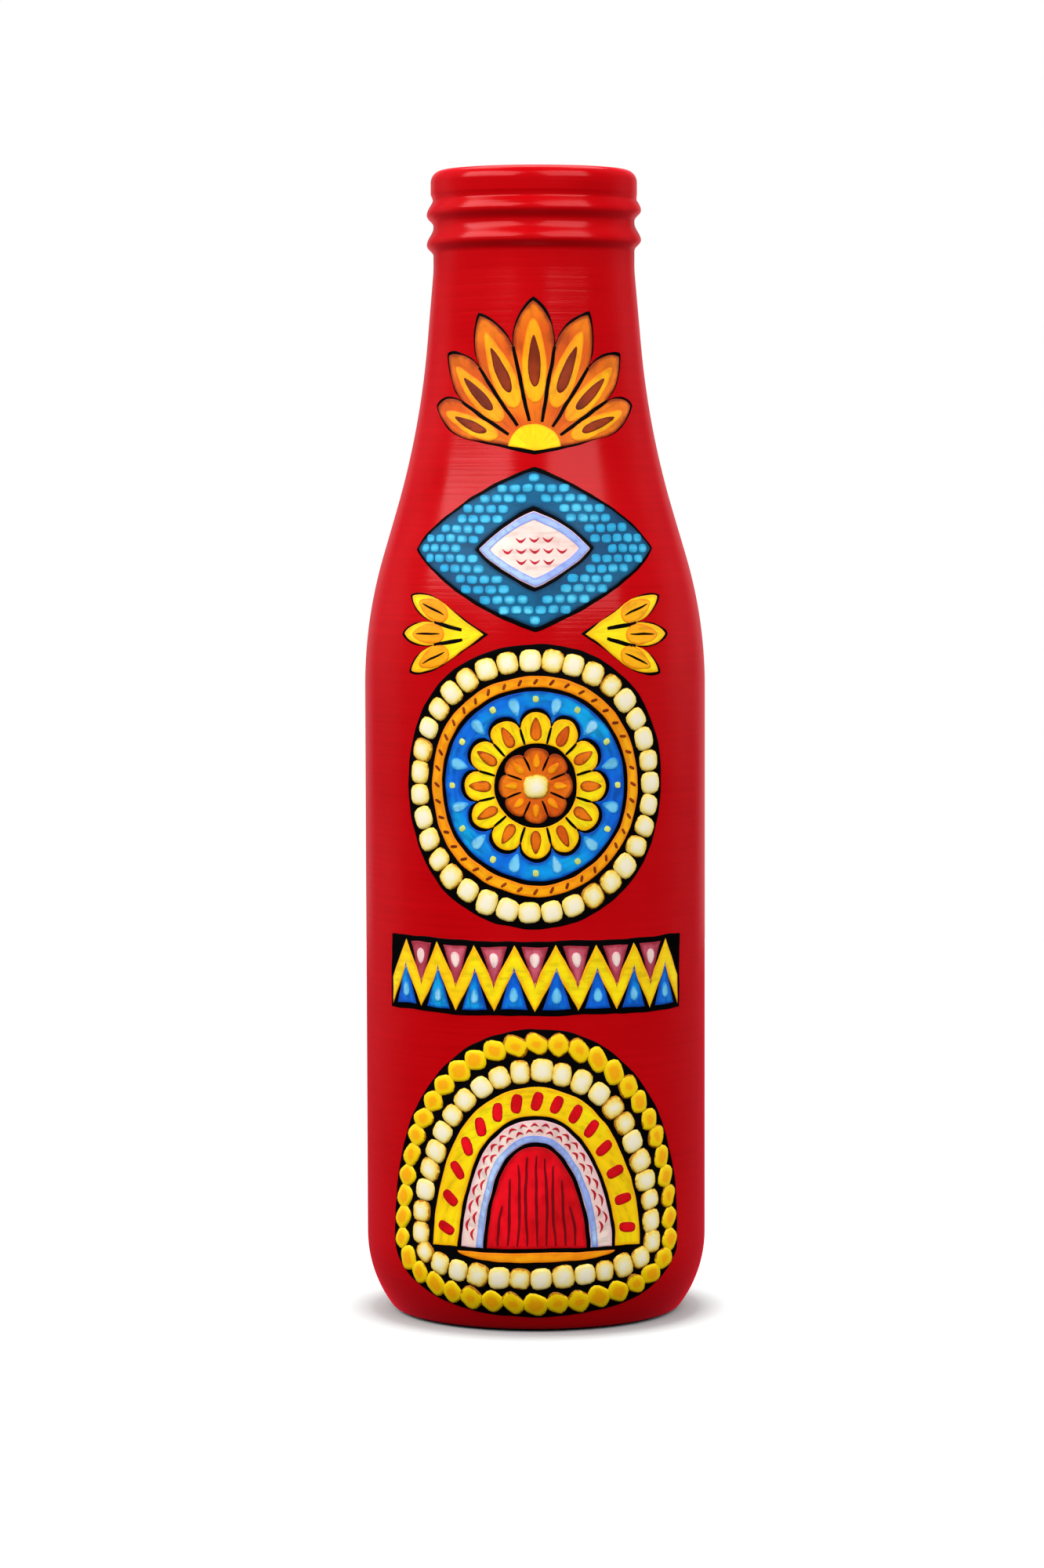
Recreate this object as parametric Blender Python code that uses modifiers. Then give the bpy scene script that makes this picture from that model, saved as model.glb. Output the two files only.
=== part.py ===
"""A decorated half-litre glass bottle with a threaded mouth, a red enamel coat and raised paint.

Lengths are in metres and +Z is up. The origin is on the floor, under the bottle's axis.
The decorated side faces -Y. The glass stands on its own flat ring and carries all the rest:
the enamel lies over its outside, black grounds lie on the enamel, and colours on the grounds.
The motifs are drawn flat, as (run, z): run goes to the right, along the bottle's round side.
"""

from math import asin, atan2, ceil, cos, floor, hypot, pi, radians, sin, tan

import bmesh
import bpy

# The bottle's outline over the enamel: corners that are then rounded
BODY_RADIUS = 0.0335
BOTTLE_HEIGHT = 0.2243
FOOT_INSET = 0.0054
HEEL_HEIGHT = 0.0075
SHOULDER_LENGTH = 0.0376
NECK_FOOT_RADIUS = 0.0224
NECK_LENGTH = 0.0308
FINISH_RADIUS = 0.0197
FINISH_LENGTH = 0.0195
LIP_LENGTH = 0.0059
LIP_STEP_OUT = 0.0005
LIP_STEP_RISE = 0.0012

# Roundings of those corners
FOOT_ROUND = 0.0029
HEEL_ROUND = 0.0238
SHOULDER_ROUND = 0.0904
NECK_ROUND = 0.1655
FINISH_ROUND = 0.0200
LIP_ROUND = 0.0024

# The glass under the enamel
GLASS_WALL = 0.0023
BASE_THICKNESS = 0.0052
INNER_FOOT_ROUND = 0.0060
FOOT_RING_WIDTH = 0.0059
PUNT_DEPTH = 0.0028

# The thread that a cap turns on: one rounded ridge of nearly two turns
THREAD_ROUND = 0.0016
THREAD_SUNK = 0.0003
THREAD_FRONT_DROP = 0.0141
THREAD_PITCH = 0.0058
THREAD_SWAY = 0.00098
THREAD_FADE_DEPTH = 0.0016
THREAD_START_DEGREES = 130
THREAD_END_DEGREES = 770
THREAD_FADE_DEGREES = 26
THREAD_STEP_DEGREES = 15

# Layers and clearances
ENAMEL_THICKNESS = 0.0004
ENAMEL_FOOT_HEIGHT = 0.0006
PAINT_THICKNESS = 0.0004
PAINT_LAYERS = 2
FIT_GAP = 0.0003
OVERRUN = 0.0010

# Places that follow from those sizes
STACK = PAINT_LAYERS * (FIT_GAP + PAINT_THICKNESS)
FOOT_RADIUS = BODY_RADIUS - FOOT_INSET
LIP_RADIUS = FINISH_RADIUS + LIP_STEP_OUT
THREAD_CENTRE_RADIUS = FINISH_RADIUS - THREAD_SUNK
PUNT_RADIUS = FOOT_RADIUS - FOOT_RING_WIDTH
LIP_FOOT_HEIGHT = BOTTLE_HEIGHT - LIP_LENGTH
FINISH_HEIGHT = BOTTLE_HEIGHT - FINISH_LENGTH
NECK_FOOT_HEIGHT = FINISH_HEIGHT - NECK_LENGTH
SHOULDER_HEIGHT = NECK_FOOT_HEIGHT - SHOULDER_LENGTH
THREAD_FRONT_HEIGHT = BOTTLE_HEIGHT - THREAD_FRONT_DROP

# Where the ornament starts and ends, the black line that shows round each of its colours, and
# the bare red between two motifs
ORNAMENT_FOOT_HEIGHT = 0.0032
ORNAMENT_TOP_GAP = 0.0057
LINE_WIDTH = 0.0008
MOTIF_GAP = 0.0024

# The egg-shaped medallion above the heel, from its pleats outwards
PLEATS_HALF_WIDTH = 0.0096
PLEATS_RISE = 0.0198
TEXTILE_ARCH_WIDTH = 0.0044
YELLOW_ARCH_WIDTH = 0.0056
BOAT_DROP = 0.0019
PEARL_RADIUS = 0.00235
ROPE_RADIUS = 0.0020
BEAD_OVERLAP = 0.0004

# The belt of points between the two medallions
BELT_HALF_HEIGHT = 0.0064
BELT_HALF_WIDTH = 0.0320
BELT_LINE_WIDTH = 0.0016
BELT_POINTS = 8

# The round medallion on the body, from its rosette outwards
ROSETTE_RADIUS = 0.0072
ROSETTE_LOBES = 8
ROSETTE_NOTCH_SHARE = 0.84
PETAL_RING_WIDTH = 0.0058
PETAL_RING_LOBES = 12
PETAL_RING_NOTCH_SHARE = 0.80
BLUE_RIM_WIDTH = 0.0041
AMBER_RING_WIDTH = 0.0022

# The two sprigs of leaves beside the medallion's top
SPRIG_FOOT_OUT = 0.0098
SPRIG_RISE = 0.0017
SPRIG_LEAF_LENGTH = 0.0185
SPRIG_LEAVES = 3
SPRIG_LEAN_DEGREES = 91
SPRIG_SPREAD_DEGREES = 70
SPRIG_SIDE_SHARE = 0.92
SPRIG_NOTCH_SHARE = 0.58

# The lozenge on the shoulder, from its heart outwards
HEART_HALF_WIDTH = 0.0108
HEART_HALF_HEIGHT = 0.0072
TEAL_BAND_ACROSS = 0.0142
TEAL_BAND_UPWARD = 0.0074
LOZENGE_FULLNESS = 1.2

# The lotus on the neck
LOTUS_PETAL_LENGTH = 0.0288
LOTUS_PETALS = 7
LOTUS_SPREAD_DEGREES = 160
LOTUS_SIDE_SHARE = 0.74
LOTUS_NOTCH_SHARE = 0.70
PETAL_SHOULDER_SHARE = 0.90

# How finely things are turned and drawn
SIDES = 40
ROUND_POINTS = 48
PEARL_STEPS = 3
ROPE_STEPS = 2
PATH_SAMPLES = 720
PUNT_STEPS = 4


def clear_scene():
    for thing in list(bpy.data.objects):
        bpy.data.objects.remove(thing)


def new_collection(name, hidden):
    collection = bpy.data.collections.new(name)
    collection.hide_render = hidden
    bpy.context.scene.collection.children.link(collection)
    return collection


def new_material(name, colour, roughness, metallic=0.0, transmission=0.0):
    material = bpy.data.materials.new(name)
    material.use_nodes = True
    shader = material.node_tree.nodes["Principled BSDF"]
    shader.inputs["Base Color"].default_value = (*colour, 1)
    shader.inputs["Roughness"].default_value = roughness
    shader.inputs["Metallic"].default_value = metallic
    shader.inputs["Transmission Weight"].default_value = transmission
    material.diffuse_color = (*colour, 1)
    return material


def offset_corner(before, corner, after, inset_before, inset_after):
    """The corner where its two edges meet after each moves inwards by its own inset."""
    along_a = (corner[0] - before[0], corner[1] - before[1])
    along_b = (after[0] - corner[0], after[1] - corner[1])
    length_a = hypot(*along_a)
    length_b = hypot(*along_b)
    # The outline runs up the bottle's right side, so inwards is to the left of each edge
    point_a = (
        corner[0] - along_a[1] / length_a * inset_before,
        corner[1] + along_a[0] / length_a * inset_before,
    )
    point_b = (
        corner[0] - along_b[1] / length_b * inset_after,
        corner[1] + along_b[0] / length_b * inset_after,
    )
    cross = along_a[0] * along_b[1] - along_a[1] * along_b[0]
    gap = (point_b[0] - point_a[0], point_b[1] - point_a[1])
    share = (gap[0] * along_b[1] - gap[1] * along_b[0]) / cross
    return (point_a[0] + along_a[0] * share, point_a[1] + along_a[1] * share)


def rounded(points, rounds, steps):
    """The open outline with each inner corner rounded, as far as its edges leave room."""
    lengths = [hypot(b[0] - a[0], b[1] - a[1]) for a, b in zip(points, points[1:])]
    turns = [0.0] * len(points)
    reaches = [0.0] * len(points)
    for i in range(1, len(points) - 1):
        before, corner, after = points[i - 1 : i + 2]
        heading_in = atan2(corner[1] - before[1], corner[0] - before[0])
        heading_out = atan2(after[1] - corner[1], after[0] - corner[0])
        turns[i] = heading_out - heading_in
        reaches[i] = rounds[i] * tan(abs(turns[i]) / 2)
    shares = [
        min(1.0, length / max(a + b, length)) for length, a, b in zip(lengths, reaches, reaches[1:])
    ]
    outline = [points[0]]
    for i in range(1, len(points) - 1):
        corner = points[i]
        reach = reaches[i] * min(shares[i - 1], shares[i])
        if reach == 0:
            outline.append(corner)
            continue
        radius = reach / tan(abs(turns[i]) / 2)
        side = 1 if turns[i] > 0 else -1
        unit = [(corner[k] - points[i - 1][k]) / lengths[i - 1] for k in (0, 1)]
        start = (corner[0] - unit[0] * reach, corner[1] - unit[1] * reach)
        centre = (start[0] - unit[1] * radius * side, start[1] + unit[0] * radius * side)
        first = atan2(start[1] - centre[1], start[0] - centre[0])
        for step in range(steps[i] + 1):
            angle = first + turns[i] * step / steps[i]
            outline.append((centre[0] + radius * cos(angle), centre[1] + radius * sin(angle)))
    outline.append(points[-1])
    return outline


def bottle_outline(side, bottom, top, foot_round=None):
    """The outline from the axis at the base to the axis at the top, moved in by the insets."""
    corners = [
        (0, 0, 0, 1),
        (FOOT_RADIUS, 0, FOOT_ROUND, 2),
        (BODY_RADIUS, HEEL_HEIGHT, HEEL_ROUND, 3),
        (BODY_RADIUS, SHOULDER_HEIGHT, SHOULDER_ROUND, 3),
        (NECK_FOOT_RADIUS, NECK_FOOT_HEIGHT, NECK_ROUND, 3),
        (FINISH_RADIUS, FINISH_HEIGHT, FINISH_ROUND, 1),
        (FINISH_RADIUS, LIP_FOOT_HEIGHT, 0, 1),
        (LIP_RADIUS, LIP_FOOT_HEIGHT + LIP_STEP_RISE, 0, 1),
        (LIP_RADIUS, BOTTLE_HEIGHT, LIP_ROUND, 3),
        (0, BOTTLE_HEIGHT, 0, 1),
    ]
    insets = [bottom] + [side] * (len(corners) - 3) + [top]
    moved = [(0, bottom)]
    rounds = [0]
    for i in range(1, len(corners) - 1):
        before, corner, after = corners[i - 1 : i + 2]
        moved.append(offset_corner(before, corner, after, insets[i - 1], insets[i]))
        cross = (corner[0] - before[0]) * (after[1] - corner[1])
        cross -= (corner[1] - before[1]) * (after[0] - corner[0])
        convex = cross > 0
        grown = corner[2] - side if convex else corner[2] + side
        rounds.append(max(grown, 0) if corner[2] else 0)
    moved.append((0, BOTTLE_HEIGHT - top))
    rounds.append(0)
    if foot_round is not None:
        rounds[1] = foot_round
    return rounded(moved, rounds, [corner[3] for corner in corners])


def side_outline(side):
    """The part of the outline that takes paint, from the heel's round to the top of the neck."""
    outline = bottle_outline(side, 0, 0)
    return [point for point in outline if 0 < point[1] <= FINISH_HEIGHT and point[0] > 0]


def radius_at(height):
    """The radius of the coat's outside, at a height that takes paint."""
    outline = side_outline(0)
    pairs = list(zip(outline, outline[1:]))
    (low_radius, low), (high_radius, high) = next(
        (pair for pair in pairs if height <= pair[1][1]), pairs[-1]
    )
    return low_radius + (high_radius - low_radius) * (height - low) / (high - low)


def laid_round(loop):
    """The flat drawing's points laid round the bottle, as (x, z) in the view from the front."""
    laid = []
    for run, height in loop:
        radius = radius_at(height)
        laid.append((radius * sin(run / radius), height))
    return laid


def turned(name, section, collection, closed=False):
    """A profile turned round Z. The profile is given from the bottom up its outer side."""
    points = list(reversed(section))
    mesh = bpy.data.meshes.new(name)
    edges = [(i, i + 1) for i in range(len(points) - 1)]
    if closed:
        edges.append((len(points) - 1, 0))
    mesh.from_pydata([(radius, 0, height) for radius, height in points], edges, [])
    thing = bpy.data.objects.new(name, mesh)
    collection.objects.link(thing)
    screw = thing.modifiers.new("turn", "SCREW")
    screw.axis = "Z"
    screw.angle = 2 * pi
    screw.steps = SIDES
    screw.render_steps = SIDES
    screw.use_smooth_shade = True
    screw.use_merge_vertices = True
    screw.merge_threshold = FIT_GAP / 100
    return thing


def boolean(thing, other, operation):
    modifier = thing.modifiers.new(other.name, "BOOLEAN")
    modifier.operation = operation
    modifier.solver = "EXACT"
    modifier.object = other


def mesh_of_curve(curve_object, collection):
    """A closed mesh in the curve object's place, because a curve can't be joined or cut."""
    bpy.context.view_layer.update()
    graph = bpy.context.evaluated_depsgraph_get()
    mesh = bpy.data.meshes.new_from_object(curve_object.evaluated_get(graph))
    mesh.transform(curve_object.matrix_world)
    shape = bmesh.new()
    shape.from_mesh(mesh)
    bmesh.ops.remove_doubles(shape, verts=shape.verts, dist=FIT_GAP / 100)
    bmesh.ops.recalc_face_normals(shape, faces=shape.faces)
    shape.to_mesh(mesh)
    shape.free()
    name = curve_object.name
    bpy.data.objects.remove(curve_object)
    thing = bpy.data.objects.new(name, mesh)
    collection.objects.link(thing)
    thing.display_type = "WIRE"
    thing.hide_render = True
    return thing


def thread_ridge(name, inset, cutters):
    """The thread as a round bar along its path, thinner by the inset, sunk away at both ends."""
    curve = bpy.data.curves.new(name, "CURVE")
    curve.dimensions = "3D"
    curve.twist_mode = "Z_UP"
    curve.bevel_depth = THREAD_ROUND - inset
    curve.bevel_resolution = 2
    curve.use_fill_caps = True
    spline = curve.splines.new("POLY")
    count = ceil((THREAD_END_DEGREES - THREAD_START_DEGREES) / THREAD_STEP_DEGREES)
    spline.points.add(count)
    for i, point in enumerate(spline.points):
        degrees = THREAD_START_DEGREES + (THREAD_END_DEGREES - THREAD_START_DEGREES) * i / count
        from_end = min(degrees - THREAD_START_DEGREES, THREAD_END_DEGREES - degrees)
        sunk = max(0, 1 - from_end / THREAD_FADE_DEGREES)
        radius = THREAD_CENTRE_RADIUS - THREAD_FADE_DEPTH * sunk
        angle = radians(degrees)
        # 270 degrees is the middle of the front, where the ridge runs nearly level
        turns = (degrees - 270) / 360
        height = THREAD_FRONT_HEIGHT + THREAD_PITCH * turns - THREAD_SWAY * cos(angle)
        point.co = (radius * cos(angle), radius * sin(angle), height, 1)
    ridge = bpy.data.objects.new(name, curve)
    cutters.objects.link(ridge)
    return mesh_of_curve(ridge, cutters)


def bottle_form(name, outline, inset, collection, cutters):
    """The bottle's full outside as one solid with its thread, which is thinner by the inset."""
    form = turned(name, outline, collection)
    boolean(form, thread_ridge(name + "_thread", inset, cutters), "UNION")
    return form


def as_cutter(thing):
    thing.hide_render = True
    thing.display_type = "WIRE"
    return thing


def make_glass(collection, cutters, material):
    """The blown glass: foot ring and punt below, even wall, threaded finish and rounded lip."""
    side = ENAMEL_THICKNESS + FIT_GAP
    glass = bottle_form("glass_bottle", bottle_outline(side, 0, side), side, collection, cutters)
    inside = bottle_outline(side + GLASS_WALL, BASE_THICKNESS, -OVERRUN, INNER_FOOT_ROUND)
    boolean(glass, as_cutter(turned("glass_inside", inside, cutters)), "DIFFERENCE")
    sphere_radius = (PUNT_RADIUS**2 + PUNT_DEPTH**2) / (2 * PUNT_DEPTH)
    half_angle = asin(PUNT_RADIUS / sphere_radius)
    centre = PUNT_DEPTH - sphere_radius
    angles = [half_angle * (1 - i / PUNT_STEPS) for i in range(PUNT_STEPS)]
    dome = [(sphere_radius * sin(a), centre + sphere_radius * cos(a)) for a in angles]
    punt = [(0, -OVERRUN), (PUNT_RADIUS, -OVERRUN), *dome, (0, PUNT_DEPTH)]
    boolean(glass, as_cutter(turned("glass_punt", punt, cutters)), "DIFFERENCE")
    glass.data.materials.append(material)


def make_enamel(collection, cutters, material):
    """The red coat over the outside and the lip, open at the mouth and just above the floor."""
    coat = bottle_form("red_enamel_coat", bottle_outline(0, 0, 0), 0, collection, cutters)
    outside = BODY_RADIUS + OVERRUN
    below = -2 * OVERRUN
    foot = [(0, below), (outside, below), (outside, ENAMEL_FOOT_HEIGHT), (0, ENAMEL_FOOT_HEIGHT)]
    boolean(coat, as_cutter(turned("enamel_foot", foot, cutters)), "DIFFERENCE")
    thickness = ENAMEL_THICKNESS
    mouth_radius = LIP_RADIUS - ENAMEL_THICKNESS - FIT_GAP - GLASS_WALL
    inside = bottle_outline(thickness, -OVERRUN, thickness)[:-1]
    inside += [(mouth_radius, BOTTLE_HEIGHT - thickness), (mouth_radius, BOTTLE_HEIGHT + OVERRUN)]
    inside.append((0, BOTTLE_HEIGHT + OVERRUN))
    inner = bottle_form("enamel_inside", inside, thickness, cutters, cutters)
    boolean(coat, as_cutter(inner), "DIFFERENCE")
    coat.data.materials.append(material)


def outline_prism(name, loops, cutters):
    """A flat outline, seen from the front as (x, z), run back to the bottle's middle plane."""
    depth = BODY_RADIUS + STACK + OVERRUN
    curve = bpy.data.curves.new(name, "CURVE")
    curve.dimensions = "2D"
    curve.fill_mode = "BOTH"
    curve.extrude = depth / 2
    for loop in loops:
        spline = curve.splines.new("POLY")
        spline.points.add(len(loop) - 1)
        for point, (x, z) in zip(spline.points, loop):
            point.co = (x, z, 0, 1)
        spline.use_cyclic_u = True
    prism = bpy.data.objects.new(name, curve)
    prism.rotation_euler = (pi / 2, 0, 0)
    prism.location = (0, -depth / 2, 0)
    cutters.objects.link(prism)
    return mesh_of_curve(prism, cutters)


def paint_plate(name, loops, layer, material, collection, cutters):
    """One flat colour of raised paint: the paint layer's sleeve inside the drawn outline."""
    low = layer * FIT_GAP + (layer - 1) * PAINT_THICKNESS
    outer = side_outline(-low - PAINT_THICKNESS)
    inner = side_outline(-low)
    plate = turned(name, outer + list(reversed(inner)), collection, closed=True)
    front = [laid_round(loop) for loop in loops]
    boolean(plate, outline_prism(name + "_outline", front, cutters), "INTERSECT")
    plate.data.materials.append(material)


def oval(half_width, rise, drop, height, points=ROUND_POINTS):
    """A closed egg: its upper half rises by one size and its lower half drops by another."""
    loop = []
    for i in range(points):
        angle = 2 * pi * i / points
        reach = rise if sin(angle) >= 0 else drop
        loop.append((half_width * cos(angle), height + reach * sin(angle)))
    return loop


def circle(radius, height, points=ROUND_POINTS):
    return oval(radius, radius, radius, height, points)


def arch(half_width, rise, foot, points=ROUND_POINTS // 2):
    """A half oval that stands flat on its foot; a negative rise hangs it from there instead."""
    angles = [pi * i / points for i in range(points + 1)]
    return [(half_width * cos(angle), foot + rise * sin(angle)) for angle in angles]


def lobed(tip_radius, notch_share, lobes, height, grow=0):
    """A flower outline: tips, shoulders and notches, grown outwards by an even amount."""
    shares = [1, PETAL_SHOULDER_SHARE, notch_share, PETAL_SHOULDER_SHARE]
    loop = []
    for i in range(lobes * len(shares)):
        angle = 2 * pi * i / (lobes * len(shares))
        radius = tip_radius * shares[i % len(shares)] + grow
        loop.append((radius * sin(angle), height + radius * cos(angle)))
    return loop


def fan(foot, middle, length, petals, spread, side_share, notch_share, grow=0):
    """A fan of petals that get shorter to both sides. Angles run from straight up to the right."""
    shares = [notch_share, PETAL_SHOULDER_SHARE, 1, PETAL_SHOULDER_SHARE]
    steps = petals * len(shares)
    loop = [(foot[0] - grow * sin(middle), foot[1] - grow * cos(middle))]
    for i in range(steps + 1):
        aside = i / steps - 1 / 2
        radius = length * (1 - (1 - side_share) * (2 * aside) ** 2) * shares[i % len(shares)] + grow
        angle = middle + spread * aside
        loop.append((foot[0] + radius * sin(angle), foot[1] + radius * cos(angle)))
    return loop


def lozenge(half_width, half_height, height, points=ROUND_POINTS // 2):
    """A diamond with slightly full sides."""
    loop = []
    for i in range(points):
        angle = 2 * pi * i / points
        across = abs(cos(angle)) ** (2 / LOZENGE_FULLNESS) * (1 if cos(angle) >= 0 else -1)
        upward = abs(sin(angle)) ** (2 / LOZENGE_FULLNESS) * (1 if sin(angle) >= 0 else -1)
        loop.append((half_width * across, height + half_height * upward))
    return loop


def spaced(path, spacing):
    """Points at an even distance round a closed path, a function of a share from 0 to 1."""
    samples = [path(i / PATH_SAMPLES) for i in range(PATH_SAMPLES + 1)]
    runs = [0.0]
    for a, b in zip(samples, samples[1:]):
        runs.append(runs[-1] + hypot(b[0] - a[0], b[1] - a[1]))
    count = max(3, floor(runs[-1] / spacing))
    found = []
    k = 0
    for i in range(count):
        run = runs[-1] * i / count
        while runs[k + 1] < run:
            k += 1
        share = (run - runs[k]) / (runs[k + 1] - runs[k])
        a, b = samples[k], samples[k + 1]
        found.append((a[0] + (b[0] - a[0]) * share, a[1] + (b[1] - a[1]) * share))
    return found


def string_outline(centres, radius, steps):
    """Both edges of a closed row of round beads, each bead running a little into the next."""
    left, right = [], []
    for i, centre in enumerate(centres):
        before = centres[i - 1]
        after = centres[(i + 1) % len(centres)]
        length = hypot(after[0] - before[0], after[1] - before[1])
        along = ((after[0] - before[0]) / length, (after[1] - before[1]) / length)
        across = (-along[1], along[0])
        reach = hypot(after[0] - centre[0], after[1] - centre[1]) / 2
        half_turn = asin(min(1, reach / radius))
        for step in range(steps):
            angle = half_turn * (2 * step / steps - 1)
            lean, stretch = radius * sin(angle), radius * cos(angle)
            middle = (centre[0] + along[0] * lean, centre[1] + along[1] * lean)
            left.append((middle[0] + across[0] * stretch, middle[1] + across[1] * stretch))
            right.append((middle[0] - across[0] * stretch, middle[1] - across[1] * stretch))
    return [left, right]


def oval_path(half_width, rise, drop, height):
    """The egg of oval() as a path, which starts at its right side and runs up and round."""

    def path(share):
        angle = 2 * pi * share
        reach = rise if sin(angle) >= 0 else drop
        return (half_width * cos(angle), height + reach * sin(angle))

    return path


def zigzag(half_width, half_height, line_width, points, height):
    """A folded line of even thickness, as one closed outline."""
    slope = atan2(2 * half_height, half_width / points)
    half_line = line_width / 2 / cos(slope)
    swing = half_height - half_line
    top, bottom = [], []
    for i in range(2 * points + 1):
        x = half_width * (i / points - 1)
        z = height + (swing if i % 2 else -swing)
        top.append((x, z + half_line))
        bottom.append((x, z - half_line))
    return top + list(reversed(bottom))


def draw_egg(draw, foot):
    """The egg-shaped motif that stands on the foot height. It gives back the height of its top."""
    line = LINE_WIDTH
    arches = TEXTILE_ARCH_WIDTH + YELLOW_ARCH_WIDTH + 3 * line
    pearls = 2 * PEARL_RADIUS
    rope = 2 * ROPE_RADIUS
    height = foot + line + rope + line + pearls + line + BOAT_DROP + line

    def sizes(outset):
        """The egg's half width, rise and drop, at a distance outside its pleats."""
        drop = BOAT_DROP + 2 * line + outset - arches
        return (PLEATS_HALF_WIDTH + outset, PLEATS_RISE + outset, drop)

    whole = arches + pearls + line + rope + line
    draw("egg_ground", [oval(*sizes(whole), height)], 1, "black")
    beads = spaced(oval_path(*sizes(whole - line - ROPE_RADIUS), height), rope - BEAD_OVERLAP)
    draw("egg_rope", string_outline(beads, ROPE_RADIUS, ROPE_STEPS), 2, "amber")
    beads = spaced(oval_path(*sizes(arches + PEARL_RADIUS), height), pearls - BEAD_OVERLAP)
    draw("egg_pearls", string_outline(beads, PEARL_RADIUS, PEARL_STEPS), 2, "cream")
    boat_half_width = PLEATS_HALF_WIDTH + TEXTILE_ARCH_WIDTH + 2 * line
    draw("egg_boat", [arch(boat_half_width, -BOAT_DROP, height - line)], 2, "amber")
    outset = 0
    for name, width, colour in (
        ("egg_textile_arch", TEXTILE_ARCH_WIDTH, "shell_pink"),
        ("egg_yellow_arch", YELLOW_ARCH_WIDTH, "yellow"),
    ):
        outset += line
        inner = arch(PLEATS_HALF_WIDTH + outset, PLEATS_RISE + outset, height)
        outset += width
        outer = arch(PLEATS_HALF_WIDTH + outset, PLEATS_RISE + outset, height)
        draw(name, [outer + list(reversed(inner))], 2, colour)
    draw("egg_pleats", [arch(PLEATS_HALF_WIDTH, PLEATS_RISE, height)], 2, "scarlet")
    return height + PLEATS_RISE + whole


def draw_belt(draw, foot):
    """A straight band that stands on the foot height. It gives back the height of its top."""
    half_width, half_height = BELT_HALF_WIDTH + LINE_WIDTH, BELT_HALF_HEIGHT + LINE_WIDTH
    height = foot + half_height
    corners = [(-1, -1), (1, -1), (1, 1), (-1, 1)]
    band = [(half_width * x, height + half_height * z) for x, z in corners]
    draw("belt_ground", [band], 1, "black")
    points = zigzag(BELT_HALF_WIDTH, BELT_HALF_HEIGHT, BELT_LINE_WIDTH, BELT_POINTS, height)
    draw("belt_zigzag", [points], 2, "yellow")
    return height + half_height


def draw_medallion(draw, foot):
    """The round motif that stands on the foot height. It gives back the height of its top."""
    line = LINE_WIDTH
    hole = ROSETTE_RADIUS + line
    tips = hole + PETAL_RING_WIDTH
    blue = tips + BLUE_RIM_WIDTH
    amber = blue + line + AMBER_RING_WIDTH
    pearls = amber + line + PEARL_RADIUS
    whole = pearls + PEARL_RADIUS + line
    height = foot + whole
    draw("medallion_ground", [circle(whole, height)], 1, "black")
    beads = spaced(oval_path(pearls, pearls, pearls, height), 2 * PEARL_RADIUS - BEAD_OVERLAP)
    draw("medallion_pearls", string_outline(beads, PEARL_RADIUS, PEARL_STEPS), 2, "cream")
    ring = [circle(amber, height), circle(blue + line, height)]
    draw("medallion_amber_ring", ring, 2, "amber")
    flower = (tips, PETAL_RING_NOTCH_SHARE, PETAL_RING_LOBES, height)
    draw("medallion_blue_field", [circle(blue, height), lobed(*flower, line)], 2, "blue")
    ring = [lobed(*flower), circle(hole, height, ROUND_POINTS // 2)]
    draw("medallion_petals", ring, 2, "yellow")
    rosette = lobed(ROSETTE_RADIUS, ROSETTE_NOTCH_SHARE, ROSETTE_LOBES, height)
    draw("medallion_rosette", [rosette], 2, "burnt_orange")
    return height + whole


def draw_sprigs(draw, foot):
    """A pair of sprigs whose stems meet the foot height, one to each side."""
    spread = radians(SPRIG_SPREAD_DEGREES)
    leaves = (SPRIG_LEAF_LENGTH, SPRIG_LEAVES, spread, SPRIG_SIDE_SHARE, SPRIG_NOTCH_SHARE)
    for side, name in ((-1, "left"), (1, "right")):
        lean = side * radians(SPRIG_LEAN_DEGREES)
        shape = ((side * SPRIG_FOOT_OUT, foot), lean, *leaves)
        draw(name + "_sprig_ground", [fan(*shape, LINE_WIDTH)], 1, "black")
        draw(name + "_sprig", [fan(*shape)], 2, "yellow")


def draw_lozenge(draw, foot):
    """The diamond that stands on the foot height. It gives back the height of its top."""
    line = LINE_WIDTH
    width, rise = HEART_HALF_WIDTH, HEART_HALF_HEIGHT
    wide, high = width + TEAL_BAND_ACROSS, rise + TEAL_BAND_UPWARD
    height = foot + high + line
    draw("lozenge_ground", [lozenge(wide + line, high + line, height)], 1, "black")
    field = [lozenge(wide, high, height), lozenge(width + line, rise + line, height)]
    draw("lozenge_field", field, 2, "teal")
    draw("lozenge_heart", [lozenge(width, rise, height)], 2, "shell_pink")
    return height + high + line


def draw_lotus(draw, foot):
    """The fan of petals that stands on the foot height. It gives back the height of its top."""
    spread = radians(LOTUS_SPREAD_DEGREES)
    petals = (LOTUS_PETAL_LENGTH, LOTUS_PETALS, spread, LOTUS_SIDE_SHARE, LOTUS_NOTCH_SHARE)
    shape = ((0, foot + LINE_WIDTH), 0, *petals)
    draw("lotus_ground", [fan(*shape, LINE_WIDTH)], 1, "black")
    draw("lotus_petals", [fan(*shape)], 2, "burnt_orange")
    return foot + LINE_WIDTH + LOTUS_PETAL_LENGTH + LINE_WIDTH


def draw_ornament():
    """Every area of paint, drawn flat from height zero: (name, loops, layer, colour). It gives
    back the areas and the height of the whole drawing."""
    areas = []

    def draw(name, loops, layer, colour):
        areas.append((name, loops, layer, colour))

    top = draw_egg(draw, 0)
    top = draw_belt(draw, top + MOTIF_GAP)
    top = draw_medallion(draw, top + MOTIF_GAP)
    draw_sprigs(draw, top + SPRIG_RISE)
    top = draw_lozenge(draw, top + MOTIF_GAP)
    top = draw_lotus(draw, top + MOTIF_GAP)
    return areas, top


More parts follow.
